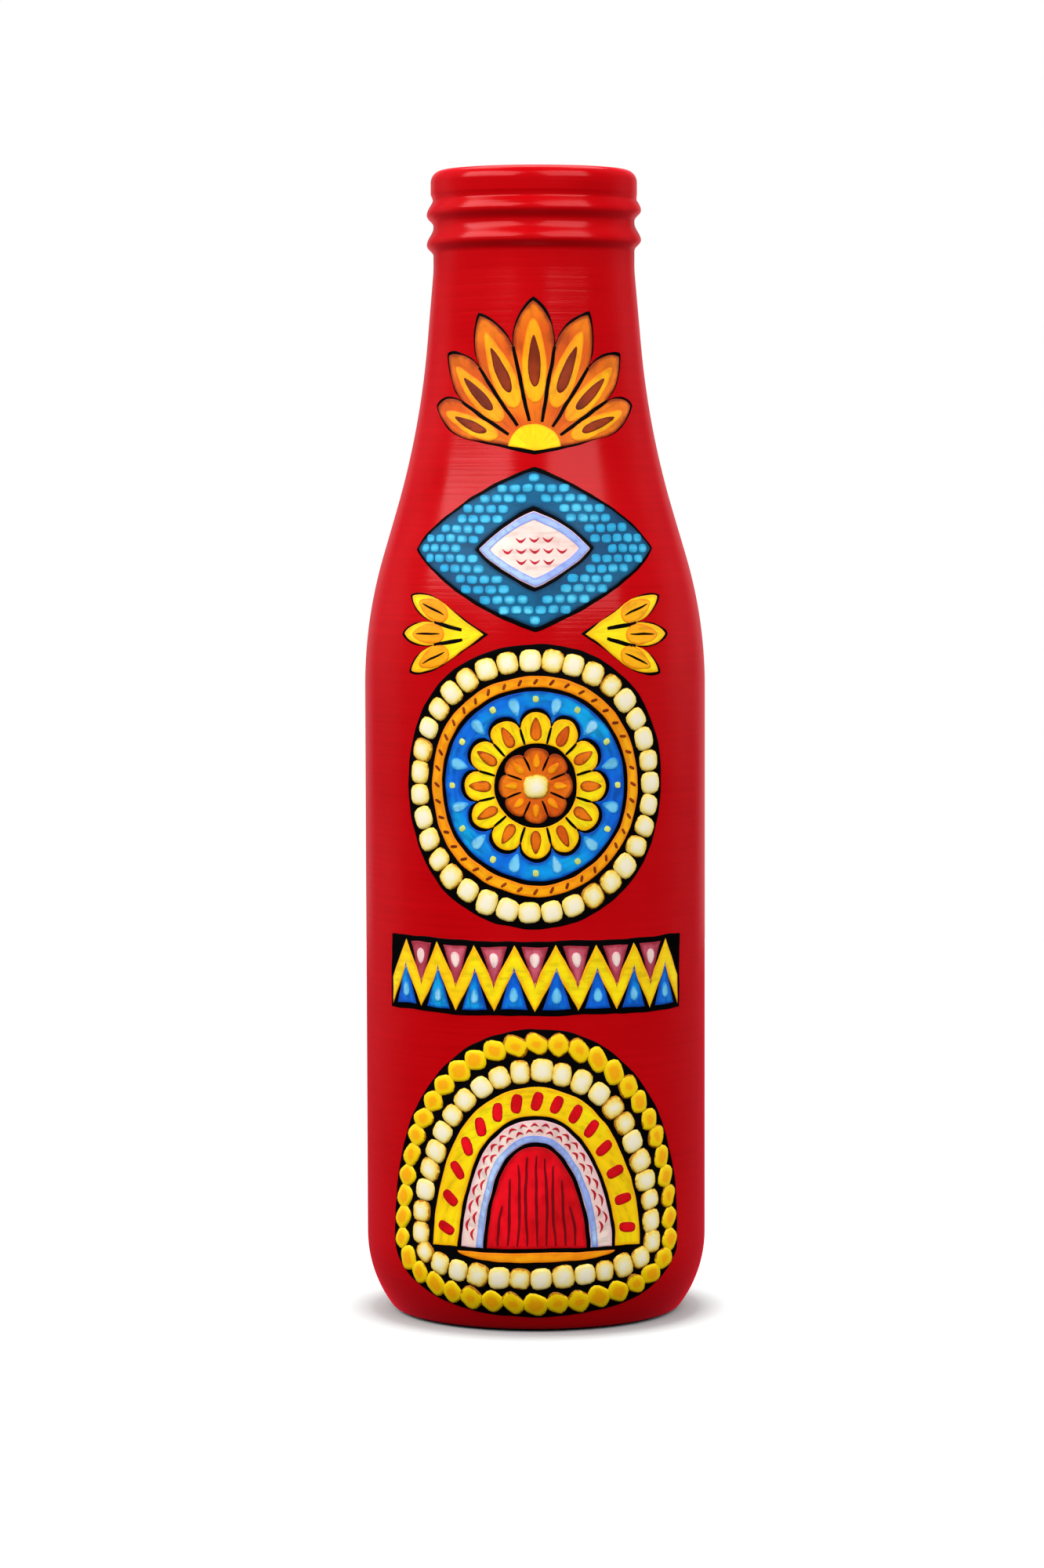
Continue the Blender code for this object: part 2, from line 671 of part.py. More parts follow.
def fitted(loop, fit):
    """A loop of the drawing at the size and height at which the drawing fills the front."""
    return [(run * fit, ORNAMENT_FOOT_HEIGHT + height * fit) for run, height in loop]


def make_ornament(paints, collection, cutters):
    """The raised paint, from the heel to just below the threaded finish."""
    areas, drawn_height = draw_ornament()
    fit = (FINISH_HEIGHT - ORNAMENT_TOP_GAP - ORNAMENT_FOOT_HEIGHT) / drawn_height
    for name, loops, layer, colour in areas:
        loops = [fitted(loop, fit) for loop in loops]
        paint_plate(name, loops, layer, paints[colour], collection, cutters)


def main():
    clear_scene()
    bottle = new_collection("decorated_bottle", False)
    cutters = new_collection("cutters", True)
    make_glass(bottle, cutters, new_material("clear_glass", (0.80, 0.86, 0.84), 0.05, 0.0, 0.95))
    make_enamel(bottle, cutters, new_material("red_enamel", (0.58, 0.005, 0.01), 0.28))
    paints = {
        "black": new_material("black_paint", (0.006, 0.005, 0.005), 0.35),
        "burnt_orange": new_material("burnt_orange_paint", (0.55, 0.13, 0.01), 0.40),
        "teal": new_material("teal_paint", (0.01, 0.33, 0.52), 0.40),
        "shell_pink": new_material("shell_pink_paint", (0.90, 0.72, 0.66), 0.45),
        "cream": new_material("cream_paint", (0.95, 0.88, 0.58), 0.40),
        "amber": new_material("amber_paint", (0.90, 0.40, 0.01), 0.40),
        "blue": new_material("blue_paint", (0.01, 0.19, 0.60), 0.40),
        "yellow": new_material("yellow_paint", (0.95, 0.66, 0.01), 0.40),
        "scarlet": new_material("scarlet_paint", (0.75, 0.005, 0.01), 0.35),
    }
    make_ornament(paints, bottle, cutters)


main()
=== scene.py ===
"""The looks of the decorated bottle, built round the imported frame.

Lengths are in metres. The decorated side faces -Y. The painted motifs are made flat on a bench:
X is the run along the bottle's round side, Z the height, and -Y how far the paint stands out.
lay_round() then bends each piece round the bottle.
"""

from contextlib import contextmanager
from math import asin, atan2, ceil, copysign, cos, dist, hypot, pi, radians, sin, tan
from random import Random

import bpy
from mathutils import Matrix, Vector, kdtree, noise


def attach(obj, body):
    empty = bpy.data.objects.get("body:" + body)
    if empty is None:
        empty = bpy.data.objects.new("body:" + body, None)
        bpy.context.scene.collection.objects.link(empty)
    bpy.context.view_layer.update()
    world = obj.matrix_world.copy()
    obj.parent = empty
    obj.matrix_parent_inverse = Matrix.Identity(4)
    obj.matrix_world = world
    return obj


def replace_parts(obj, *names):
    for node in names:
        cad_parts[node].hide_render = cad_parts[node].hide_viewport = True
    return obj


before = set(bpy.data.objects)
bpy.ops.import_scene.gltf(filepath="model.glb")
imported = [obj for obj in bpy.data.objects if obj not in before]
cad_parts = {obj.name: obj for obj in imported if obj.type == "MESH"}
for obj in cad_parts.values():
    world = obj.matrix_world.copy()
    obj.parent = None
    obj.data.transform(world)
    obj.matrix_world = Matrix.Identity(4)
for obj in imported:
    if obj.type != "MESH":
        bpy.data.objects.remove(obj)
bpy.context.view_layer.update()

# The painter's hand strays in the same way at every run
noise.seed_set(7)

# The coat's outline: corners that are then rounded
BODY_RADIUS = 0.0335
BOTTLE_HEIGHT = 0.2243
FOOT_RADIUS = 0.0281
HEEL_HEIGHT = 0.0075
SHOULDER_HEIGHT = 0.1364
NECK_FOOT_RADIUS = 0.0224
NECK_FOOT_HEIGHT = 0.1740
FINISH_RADIUS = 0.0197
FINISH_HEIGHT = 0.2048
LIP_RADIUS = 0.0202
LIP_FOOT_HEIGHT = 0.2184
LIP_STEP_RISE = 0.0012
FOOT_ROUND = 0.0029
HEEL_ROUND = 0.0238
SHOULDER_ROUND = 0.0904
NECK_ROUND = 0.1655
FINISH_ROUND = 0.0200
LIP_STEP_ROUND = 0.0010
LIP_ROUND = 0.0024
LEAST_ROUND = 0.0004

# The coat, and the glass under it
COAT_THICKNESS = 0.0004
COAT_FOOT_HEIGHT = 0.0006
GLASS_INSET = 0.00042
INNER_INSET = 0.0030
BASE_THICKNESS = 0.0052
INNER_FOOT_ROUND = 0.0060
PUNT_RADIUS = 0.0222
PUNT_DEPTH = 0.0028
PUNT_ROUND = 0.0006
PUNT_STEPS = 8
MOUTH_RADIUS = 0.0172
MOUTH_ROUND = 0.0006
BORE_ROUND = 0.0010
BORE_STEP_DROP = 0.0006

# The thread
THREAD_RISE = 0.0013
THREAD_FRONT_HEIGHT = 0.2102
THREAD_PITCH = 0.0058
THREAD_SWAY = 0.00098
THREAD_FRONT_DEGREES = 270
THREAD_START_DEGREES = 130
THREAD_END_DEGREES = 770
THREAD_FADE_DEGREES = 26
THREAD_SLOPE_ABOVE = 0.0034
THREAD_SLOPE_BELOW = 0.0020
GLASS_SLOPE_LOSS = 0.0003

# Between these heights an outline gets enough points for the thread to rise
THREAD_SPAN = (FINISH_HEIGHT - 0.002, LIP_FOOT_HEIGHT + 0.001)
COAT_THREAD_SPACING = 0.00036
GLASS_THREAD_SPACING = 0.00050

# How closely the rest of the coat's outline has its points, and the steps of both turns
COAT_SPACING = 0.004
COAT_STEPS = 192
GLASS_STEPS = 128

# How far each layer of paint stands out from the coat, and how deep it sits in the one below
GROUND_TOP = 0.00010
COLOUR_TOP = 0.00021
DETAIL_TOP = 0.00028
SUNK = 0.00003

# How far a black ground shows round its colours, as their outline
OUTLINE_WIDTH = 0.0008

# A film's rounded edge: its thickness at the outline, of its full one, and the width of each
# of its two steps
OUTLINE_THICKNESS = 0.45
GROUND_RIM = 0.00010
COLOUR_RIM = 0.00008
DETAIL_RIM = 0.00004

# How far in from its outline a colour, a detail and a tiny detail get their full hue
COLOUR_EDGE = 0.0011
DETAIL_EDGE = 0.0005
TINY_EDGE = 0.00006

# The cuts that let a flat film bend round the bottle: along its side, and upwards. They lie a
# little aside of even places, where the outlines have their own points.
COARSE_GRID = (0.0014, 0.0022)
FINE_GRID = (0.0007, 0.0008)
CUT_ASIDE = 0.0000037

# Beads of paint: half their width, half their length, and how far they stand out
ROPE_BEAD = (0.00200, 0.00240, 0.0004)
PEARL = (0.0023, 0.00214, 0.0004)
ROSETTE_BEAD = (0.0024, 0.0024, 0.0006)
BEAD_SQUARENESS = 2.8

# The power in a lozenge's outline: 1 gives straight sides, and 2 an oval
LOZENGE_FULLNESS = 1.2

# The light from all round, from both sides behind the bottle, and from straight behind it
AMBIENT = 0.62
SIDES = 3.00
BEHIND = 0.70

# The camera's place, its turns in degrees, and its lens in millimetres
CAMERA_PLACE = (0, -0.88, 0.1659)
CAMERA_YAW = 0.170
CAMERA_PITCH = -4.025
CAMERA_ROLL = -0.150
CAMERA_LENS = 102.5

# How far the painter's hand strays: over a motif, over a line, along an edge, from bead to bead
MOTIF_STRAY = 0.00045
LINE_STRAY = 0.00016
EDGE_STRAY = 0.00014
BEAD_STRAY = 0.00012

# About how many times in a metre it strays: over a motif, over a line, along an edge
MOTIF_WAVES = 60
LINE_WAVES = 190
EDGE_WAVES = 380


def srgb(red, green, blue):
    """A colour as the eye sees it, 0 to 255, turned into the shader's linear values."""
    linear = []
    for value in (red, green, blue):
        share = value / 255
        linear.append(share / 12.92 if share <= 0.04045 else ((share + 0.055) / 1.055) ** 2.4)
    return (*linear, 1)


def grey(level):
    return (level, level, level, 1)


# The bottle's outline


def between(first, second, share):
    """What lies at a share of the way from the first to the second, value by value."""
    return tuple(a + (b - a) * share for a, b in zip(first, second))


def on_oval(half_width, rise, centre, angle):
    """The place on an oval at an angle from its right end upwards."""
    return (centre[0] + half_width * cos(angle), centre[1] + rise * sin(angle))


def offset_corner(before, corner, after, inset_before, inset_after):
    """The corner where its two edges meet after each moves inwards by its own inset."""
    along_a = (corner[0] - before[0], corner[1] - before[1])
    along_b = (after[0] - corner[0], after[1] - corner[1])

    def moved_in(along, inset):
        length = hypot(*along)
        return (corner[0] - along[1] / length * inset, corner[1] + along[0] / length * inset)

    point_a = moved_in(along_a, inset_before)
    point_b = moved_in(along_b, inset_after)
    cross = along_a[0] * along_b[1] - along_a[1] * along_b[0]
    gap = (point_b[0] - point_a[0], point_b[1] - point_a[1])
    share = (gap[0] * along_b[1] - gap[1] * along_b[0]) / cross
    return (point_a[0] + along_a[0] * share, point_a[1] + along_a[1] * share)


def rounded(corners):
    """The open outline through corners (radius, height, round, steps), each rounded."""
    outline = [corners[0][:2]]
    for before, corner, after in zip(corners, corners[1:], corners[2:]):
        x, y, bend, steps = corner
        heading_in = atan2(y - before[1], x - before[0])
        heading_out = atan2(after[1] - y, after[0] - x)
        turn = (heading_out - heading_in + pi) % (2 * pi) - pi
        if bend <= 0 or abs(turn) < 0.001:
            outline.append((x, y))
            continue
        reach = bend * tan(abs(turn) / 2)
        start = (x - reach * cos(heading_in), y - reach * sin(heading_in))
        side = bend if turn > 0 else -bend
        centre = (start[0] - side * sin(heading_in), start[1] + side * cos(heading_in))
        first = atan2(start[1] - centre[1], start[0] - centre[0])
        for step in range(steps + 1):
            angle = first + turn * step / steps
            outline.append((centre[0] + bend * cos(angle), centre[1] + bend * sin(angle)))
    outline.append(corners[-1][:2])
    return outline


def side_corners(inset):
    """The corners of the bottle's side, from the foot to the lip, moved in by the inset. The
    face that it stands on stays in place."""
    corners = [
        (0, 0, 0, 0),
        (FOOT_RADIUS, 0, FOOT_ROUND, 6),
        (BODY_RADIUS, HEEL_HEIGHT, HEEL_ROUND, 12),
        (BODY_RADIUS, SHOULDER_HEIGHT, SHOULDER_ROUND, 18),
        (NECK_FOOT_RADIUS, NECK_FOOT_HEIGHT, NECK_ROUND, 14),
        (FINISH_RADIUS, FINISH_HEIGHT, FINISH_ROUND, 4),
        (FINISH_RADIUS, LIP_FOOT_HEIGHT, LIP_STEP_ROUND, 3),
        (LIP_RADIUS, LIP_FOOT_HEIGHT + LIP_STEP_RISE, LIP_STEP_ROUND, 3),
        (LIP_RADIUS, BOTTLE_HEIGHT, LIP_ROUND, 10),
        (0, BOTTLE_HEIGHT, 0, 0),
    ]
    insets = [0] + [inset] * (len(corners) - 2)
    moved = []
    for i in range(1, len(corners) - 1):
        before, corner, after = corners[i - 1 : i + 2]
        place = offset_corner(before, corner, after, insets[i - 1], insets[i])
        cross = (corner[0] - before[0]) * (after[1] - corner[1])
        cross -= (corner[1] - before[1]) * (after[0] - corner[0])
        grown = corner[2] - inset if cross > 0 else corner[2] + inset
        moved.append((*place, max(grown, LEAST_ROUND), corner[3]))
    return moved


def filled_in(outline, low, high, spacing):
    """The outline with more points where it runs between two heights."""
    filled = [outline[0]]
    for before, point in zip(outline, outline[1:]):
        middle = (before[1] + point[1]) / 2
        steps = max(1, ceil(dist(before, point) / spacing)) if low < middle < high else 1
        filled += [between(before, point, (step + 1) / steps) for step in range(steps)]
    return filled


def coat_outline():
    """The coat's outside, from its lower edge over the lip to just inside the mouth."""
    corners = side_corners(0)
    outline = rounded([(0, 0, 0, 0), *corners, (MOUTH_RADIUS + MOUTH_ROUND, BOTTLE_HEIGHT, 0, 0)])
    above = [point for point in outline[1:] if point[1] > COAT_FOOT_HEIGHT]
    below = [point for point in outline[1:] if point[1] <= COAT_FOOT_HEIGHT][-1]
    share = (COAT_FOOT_HEIGHT - below[1]) / (above[0][1] - below[1])
    edge = below[0] + (above[0][0] - below[0]) * share
    turn = MOUTH_ROUND + COAT_THICKNESS
    centre = (MOUTH_RADIUS + MOUTH_ROUND, BOTTLE_HEIGHT - turn)
    over = [on_oval(turn, turn, centre, radians(degrees)) for degrees in (105, 120, 135, 148)]
    return [(edge, COAT_FOOT_HEIGHT), *above, *over]


def glass_outline():
    """The whole wall of the glass: punt, foot ring, outside, lip, bore, inside, to the axis."""
    sphere = (PUNT_RADIUS**2 + PUNT_DEPTH**2) / (2 * PUNT_DEPTH)
    half_angle = asin(PUNT_RADIUS / sphere)
    corners = []
    for i in range(PUNT_STEPS):
        angle = half_angle * i / PUNT_STEPS
        corners.append((sphere * sin(angle), PUNT_DEPTH - sphere + sphere * cos(angle), 0, 0))
    corners.append((PUNT_RADIUS, 0, PUNT_ROUND, 3))
    corners += side_corners(GLASS_INSET)
    inner = side_corners(INNER_INSET)
    finish = [corner for corner in inner if corner[1] > FINISH_HEIGHT - 0.001][0]
    corners.append((MOUTH_RADIUS, corners[-1][1], MOUTH_ROUND, 4))
    corners.append((MOUTH_RADIUS, LIP_FOOT_HEIGHT, BORE_ROUND, 2))
    corners.append((finish[0], LIP_FOOT_HEIGHT - BORE_STEP_DROP, BORE_ROUND, 2))
    for radius, height, turn, steps in reversed(inner[2:5]):
        corners.append((radius, height, turn, max(4, steps // 2)))
    corners.append((inner[1][0], BASE_THICKNESS, INNER_FOOT_ROUND, 6))
    corners.append((0, BASE_THICKNESS, 0, 0))
    return rounded(corners)


def side_table():
    """The coat's outside as (height, radius, outward radius part, outward height part)."""
    outline = [point for point in coat_outline() if point[1] <= FINISH_HEIGHT]
    outline = filled_in(outline, 0, FINISH_HEIGHT, 0.002)
    table = []
    for i, (radius, height) in enumerate(outline):
        before = outline[max(i - 1, 0)]
        after = outline[min(i + 1, len(outline) - 1)]
        across = (after[1] - before[1], before[0] - after[0])
        length = hypot(*across)
        table.append((height, radius, across[0] / length, across[1] / length))
    return table


SIDE = side_table()


def side_at(height):
    """The radius and the outward direction of the coat's outside at a height."""
    height = min(max(height, SIDE[0][0]), SIDE[-1][0])
    k = 1
    while SIDE[k][0] < height:
        k += 1
    low, high = SIDE[k - 1], SIDE[k]
    return between(low[1:], high[1:], (height - low[0]) / (high[0] - low[0]))


# Making pieces


def pick(*things):
    """Only these things are selected, and the last is the active one."""
    bpy.ops.object.select_all(action="DESELECT")
    for thing in things:
        thing.select_set(True)
    bpy.context.view_layer.objects.active = things[-1]


@contextmanager
def editing(piece):
    """Opens the piece for editing, with all of it selected, and closes it again."""
    pick(piece)
    bpy.ops.object.mode_set(mode="EDIT")
    bpy.ops.mesh.select_all(action="SELECT")
    yield
    bpy.ops.object.mode_set(mode="OBJECT")


def apply(piece, modifier):
    """Makes what the modifier does a part of the piece."""
    pick(piece)
    bpy.ops.object.modifier_apply(modifier=modifier.name)


def give_finish(piece, material, degrees):
    """The piece gets its material, and smooth shading over edges blunter than the angle."""
    pick(piece)
    bpy.ops.object.shade_smooth_by_angle(angle=radians(degrees))
    piece.data.materials.append(material)


def turned(name, outline, steps):
    """A wall that follows the outline, spun once round the bottle's axis."""
    radius, height = outline[0]
    bpy.ops.mesh.primitive_plane_add(size=0.001, location=(radius, 0, height))
    piece = bpy.context.object
    piece.name = name
    bpy.ops.object.transform_apply(location=True)
    with editing(piece):
        bpy.ops.mesh.merge(type="CENTER")
        for before, point in zip(outline, outline[1:]):
            step = (point[0] - before[0], 0, point[1] - before[1])
            bpy.ops.mesh.extrude_vertices_move(TRANSFORM_OT_translate={"value": step})
        bpy.ops.mesh.select_all(action="SELECT")
        bpy.ops.mesh.spin(steps=steps, angle=2 * pi, center=(0, 0, 0), axis=(0, 0, 1))
        bpy.ops.mesh.select_all(action="SELECT")
        bpy.ops.mesh.remove_doubles(threshold=0.000002)
        bpy.ops.mesh.normals_make_consistent(inside=False)
    return piece


def thread_share(place, loss):
    """How much of the thread's full rise a point of the finish gets, from 0 to 1."""
    most = 0
    around = atan2(place.y, place.x) * 180 / pi % 360
    for degrees in (around, around + 360, around + 720):
        if not THREAD_START_DEGREES < degrees < THREAD_END_DEGREES:
            continue
        from_end = min(degrees - THREAD_START_DEGREES, THREAD_END_DEGREES - degrees)
        fade = min(1, from_end / THREAD_FADE_DEGREES)
        laps = (degrees - THREAD_FRONT_DEGREES) / 360
        crest = THREAD_FRONT_HEIGHT + THREAD_PITCH * laps - THREAD_SWAY * cos(radians(degrees))
        reach = THREAD_SLOPE_ABOVE if place.z > crest else THREAD_SLOPE_BELOW
        away = abs(place.z - crest) / (reach - loss)
        if away < 1:
            most = max(most, (0.5 - 0.5 * cos(pi * fade)) * cos(pi / 2 * away) ** 2)
    return most


def raise_thread(piece, loss):
    """Lifts the thread's ridge out of the finish, its slopes shorter by the loss."""
    ridge = piece.vertex_groups.new(name="thread")
    for vertex in piece.data.vertices:
        if hypot(vertex.co.x, vertex.co.y) < FINISH_RADIUS - 0.0010:
            continue
        share = thread_share(vertex.co, loss)
        if share > 0:
            ridge.add([vertex.index], share, "REPLACE")
    lift = piece.modifiers.new("thread", "DISPLACE")
    lift.vertex_group = ridge.name
    lift.mid_level = 0
    lift.strength = THREAD_RISE
    apply(piece, lift)


def make_coat(material):
    """The red coat: the outline spun, the thread raised, then given the paint's thickness."""
    outline = filled_in(coat_outline(), *THREAD_SPAN, COAT_THREAD_SPACING)
    outline = filled_in(outline, 0, THREAD_SPAN[0], COAT_SPACING)
    coat = turned("red_coat", outline, COAT_STEPS)
    raise_thread(coat, 0)
    wall = coat.modifiers.new("wall", "SOLIDIFY")
    wall.thickness = COAT_THICKNESS
    wall.offset = -1
    apply(coat, wall)
    give_finish(coat, material, 60)
    hand_over(coat, "red_enamel", "red_enamel_coat")


def make_glass(material):
    """The clear glass: its whole wall spun, and the thread raised on its outside."""
    outline = filled_in(glass_outline(), *THREAD_SPAN, GLASS_THREAD_SPACING)
    glass = turned("clear_bottle", outline, GLASS_STEPS)
    raise_thread(glass, GLASS_SLOPE_LOSS)
    give_finish(glass, material, 50)
    hand_over(glass, "clear_glass", "glass_bottle")


def hand_over(piece, slot, *nodes):
    """A finished piece rides on the bottle and stands for its CAD nodes; its slot is not used."""
    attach(piece, "root")
    if nodes:
        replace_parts(piece, *nodes)


# Flat paint


def resampled(loop, spacing=0.0008):
    """A closed outline with points at about an even spacing, its corners kept."""
    points = []
    for point, after in zip(loop, loop[1:] + loop[:1]):
        steps = max(1, round(dist(point, after) / spacing))
        points += [between(point, after, step / steps) for step in range(steps)]
    return points


def astray(run, height, waves, layer):
    """Which way the hand is off here, and by what share of its full stray."""
    return noise.noise_vector(Vector((run * waves, height * waves, layer)))


def by_hand(loop, seed):
    """The outline as a brush leaves it, a little off everywhere."""
    strayed = []
    for run, height in loop:
        off = astray(run, height, EDGE_WAVES, seed * 7.3)
        strayed.append((run + EDGE_STRAY * off.x, height + EDGE_STRAY * off.y))
    return strayed


def cut_out(name, loops):
    """A flat piece on the bench, inside the outlines, facing the viewer."""
    curve = bpy.data.curves.new(name, "CURVE")
    curve.dimensions = "2D"
    curve.fill_mode = "BOTH"
    for loop in loops:
        spline = curve.splines.new("POLY")
        spline.points.add(len(loop) - 1)
        for point, (run, height) in zip(spline.points, loop):
            point.co = (run, height, 0, 1)
        spline.use_cyclic_u = True
    piece = bpy.data.objects.new(name, curve)
    piece.rotation_euler = (pi / 2, 0, 0)
    bpy.context.collection.objects.link(piece)
    pick(piece)
    bpy.ops.object.convert(target="MESH")
    piece = bpy.context.object
    bpy.ops.object.transform_apply(location=True, rotation=True, scale=True)
    with editing(piece):
        bpy.ops.mesh.remove_doubles(threshold=0.000001)
        bpy.ops.mesh.dissolve_limited(angle_limit=radians(0.2))
    return piece


def round_the_edge(piece, rim):
    """Two rings inside the outline, which the paint's thickness follows up to its full level."""
    piece.vertex_groups.new(name="thickness")
    with editing(piece):
        for weight in (0.8, 1.0):
            bpy.ops.mesh.inset(thickness=rim, use_boundary=True, use_even_offset=False)
            bpy.context.scene.tool_settings.vertex_group_weight = weight
            bpy.ops.object.vertex_group_assign()


def cut_grid(piece, spacing):
    """Cuts across and upwards, so that the piece can bend round the bottle."""
    corners = [vertex.co.copy() for vertex in piece.data.vertices]
    with editing(piece):
        for axis, normal in ((0, (1, 0, 0)), (2, (0, 0, 1))):
            low = min(corner[axis] for corner in corners)
            high = max(corner[axis] for corner in corners)
            cuts = ceil((high - low) / spacing[axis > 0])
            for i in range(1, cuts):
                place = [0, 0, 0]
                place[axis] = low + (high - low) * i / cuts + CUT_ASIDE
                bpy.ops.mesh.select_all(action="SELECT")
                bpy.ops.mesh.bisect(plane_co=place, plane_no=normal, threshold=0.0000005)


def note_brush(piece, grain):
    """Keeps the brush's course over the flat piece as its UV map."""
    mesh = piece.data
    uv = mesh.uv_layers.new(name="brush")
    places = [grain(vertex.co.x, vertex.co.z) for vertex in mesh.vertices]
    for corner in mesh.loops:
        uv.data[corner.index].uv = places[corner.vertex_index]


def note_inward(piece, loops, reach):
    """Keeps how far each point lies in from the outlines: 0 on them, 1 past the reach."""
    points = [point for loop in loops for point in resampled(loop, 0.0002)]
    outline = kdtree.KDTree(len(points))
    for i, (run, height) in enumerate(points):
        outline.insert((run, 0, height), i)
    outline.balance()
    inward = piece.data.attributes.new("inward", "FLOAT", "POINT")
    for vertex in piece.data.vertices:
        away = outline.find((vertex.co.x, 0, vertex.co.z))[2]
        inward.data[vertex.index].value = min(1, away / reach)


def upright(run, height):
    """Brush strokes that run upwards."""
    return (run * 100, height * 100)


def across(run, height):
    """Brush strokes that run along the bottle's side."""
    return (height * 100, run * 100)


def from_point(centre_run, centre_height):
    """Brush strokes that run out from a point. A UV's first part goes across the stroke."""

    def grain(run, height):
        away = hypot(run - centre_run, height - centre_height)
        angle = atan2(run - centre_run, height - centre_height)
        return (angle * 1.5, away * 100)

    return grain


def round_point(centre_run, centre_height):
    """Brush strokes that run round a point."""
    outwards = from_point(centre_run, centre_height)

    def grain(run, height):
        angle, away = outwards(run, height)
        return (away, angle)

    return grain


def lay_round(piece):
    """Bends a flat piece round the bottle, onto the coat, with the stray of the painter's hand."""
    for vertex in piece.data.vertices:
        run, out, height = vertex.co.x, -vertex.co.y, vertex.co.z
        off = MOTIF_STRAY * astray(run, height, MOTIF_WAVES, 3.1)
        off += LINE_STRAY * astray(run, height, LINE_WAVES, 8.7)
        run += off.x
        height += off.y
        radius, outward, upward = side_at(height)
        angle = run / radius
        reach = radius + out * outward
        vertex.co = (reach * sin(angle), -reach * cos(angle), height + out * upward)
    piece.data.update()


def film(name, loops, base, top, paint, grain, rim, edge=COLOUR_EDGE, grid=FINE_GRID):
    """A flat colour of paint with a rounded edge, from its base level to its top level."""
    material, slot = paint
    seed = len(name) + sum(map(ord, name)) % 97
    loops = [by_hand(loop, seed) for loop in loops]
    piece = cut_out(name, loops)
    round_the_edge(piece, rim)
    if grid:
        cut_grid(piece, grid)
    for vertex in piece.data.vertices:
        vertex.co.y = -base
    body = piece.modifiers.new("body", "SOLIDIFY")
    body.thickness = top - base
    body.offset = 1
    body.vertex_group = "thickness"
    body.thickness_vertex_group = OUTLINE_THICKNESS
    apply(piece, body)
    note_brush(piece, grain)
    note_inward(piece, loops, edge)
    lay_round(piece)
    give_finish(piece, material, 55)
    hand_over(piece, slot)
    return piece


def ground(name, loops):
    """A black ground, straight on the coat, which shows as the lines round the colours."""
    loops = [resampled(loop) for loop in loops]
    levels = (-SUNK, GROUND_TOP)
    piece = film(name + "_film", loops, *levels, BLACK, upright, GROUND_RIM, grid=COARSE_GRID)
    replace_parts(piece, name)


def colour_on_ground(name, loops, paint, grain=upright):
    """A colour on the black ground that stands for no node of its own."""
    loops = [resampled(loop, 0.0006) for loop in loops]
    return film(name, loops, GROUND_TOP - SUNK, COLOUR_TOP, paint, grain, COLOUR_RIM)


def colour(name, loops, paint, grain=upright):
    """A colour on the black ground."""
    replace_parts(colour_on_ground(name + "_film", loops, paint, grain), name)


def detail(name, loops, paint, grain=upright, level=1, tiny=False):
    """Strokes and dabs on the colours, or on a lower level of details. Tiny ones need no cuts,
    and get their full hue right at their outline."""
    step = DETAIL_TOP - COLOUR_TOP
    top = COLOUR_TOP + level * step
    base = COLOUR_TOP + (level - 1) * step - SUNK
    edge, grid = (TINY_EDGE, None) if tiny else (DETAIL_EDGE, FINE_GRID)
    film(name, loops, base, top, paint, grain, DETAIL_RIM, edge, grid)


# Shapes of motifs, drawn flat


def out_from(centre, reach, angle):
    """The place this far from the centre, at an angle from straight up to the right."""
    return (centre[0] + reach * sin(angle), centre[1] + reach * cos(angle))


def turns(count, shift=0):
    """Even angles all the way round."""
    return [2 * pi * (i + shift) / count for i in range(count)]


def egg_path(half_width, rise, drop_down, height):
    """The place at each share of the way round an egg, whose upper half rises by one size and
    whose lower half drops by another."""

    def path(share):
        angle = 2 * pi * share
        reach = rise if sin(angle) >= 0 else drop_down
        return on_oval(half_width, reach, (0, height), angle)

    return path


def oval(half_width, rise, drop_down, height, points=240):
    """The closed outline of an egg."""
    path = egg_path(half_width, rise, drop_down, height)
    return [path(i / points) for i in range(points)]


def circle(radius, height, points=240):
    return oval(radius, radius, radius, height, points)


def arch(half_width, rise, foot, points=120):
    """A half oval that stands flat on its foot; a negative rise hangs it from there instead."""
    return [on_oval(half_width, rise, (0, foot), pi * i / points) for i in range(points + 1)]


def arched_band(outer, inner, foot):
    """The band between two arches (half width, rise) that stand on one foot."""
    return arch(*outer, foot) + arch(*inner, foot)[::-1]


def petal_share(aside, notch, point, fullness):
    """How far a petal reaches, of its length, from its middle at 0 to its notch at 1 or -1."""
    return notch + (1 - notch) * max(0, 1 - abs(aside) ** point) ** fullness


def lobed(tip_radius, notch, lobes, height, grow=0, steps=14):
    """A flower outline with round petals, grown outwards by an even amount."""
    loop = []
    for i in range(lobes * steps):
        aside = (i % steps) / steps * 2 - 1
        angle = 2 * pi * (i / steps - 0.5) / lobes
        radius = tip_radius * petal_share(aside, notch, 2.0, 0.6) + grow
        loop.append(out_from((0, height), radius, angle))
    return loop


def fan_length(length, side_share, aside):
    """The length of a fan's petal whose middle is this far aside, from -1/2 to 1/2."""
    return length * (1 - (1 - side_share) * (2 * aside) ** 2)


def fan(foot, middle, length, petals, spread, side_share, notch, point, grow=0, steps=18):
    """A fan of petals that get shorter to both sides. Angles run from straight up to the right."""
    loop = [out_from(foot, -grow, middle)]
    for i in range(petals * steps + 1):
        across_fan = i / (petals * steps) - 0.5
        aside = (i % steps) / steps * 2 - 1
        radius = fan_length(length, side_share, across_fan)
        radius = radius * petal_share(aside, notch, point, 0.7) + grow
        loop.append(out_from(foot, radius, middle + spread * across_fan))
    return loop


def bent(value, power):
    """The value's size to a power, with the value's own sign."""
    return copysign(abs(value) ** power, value)


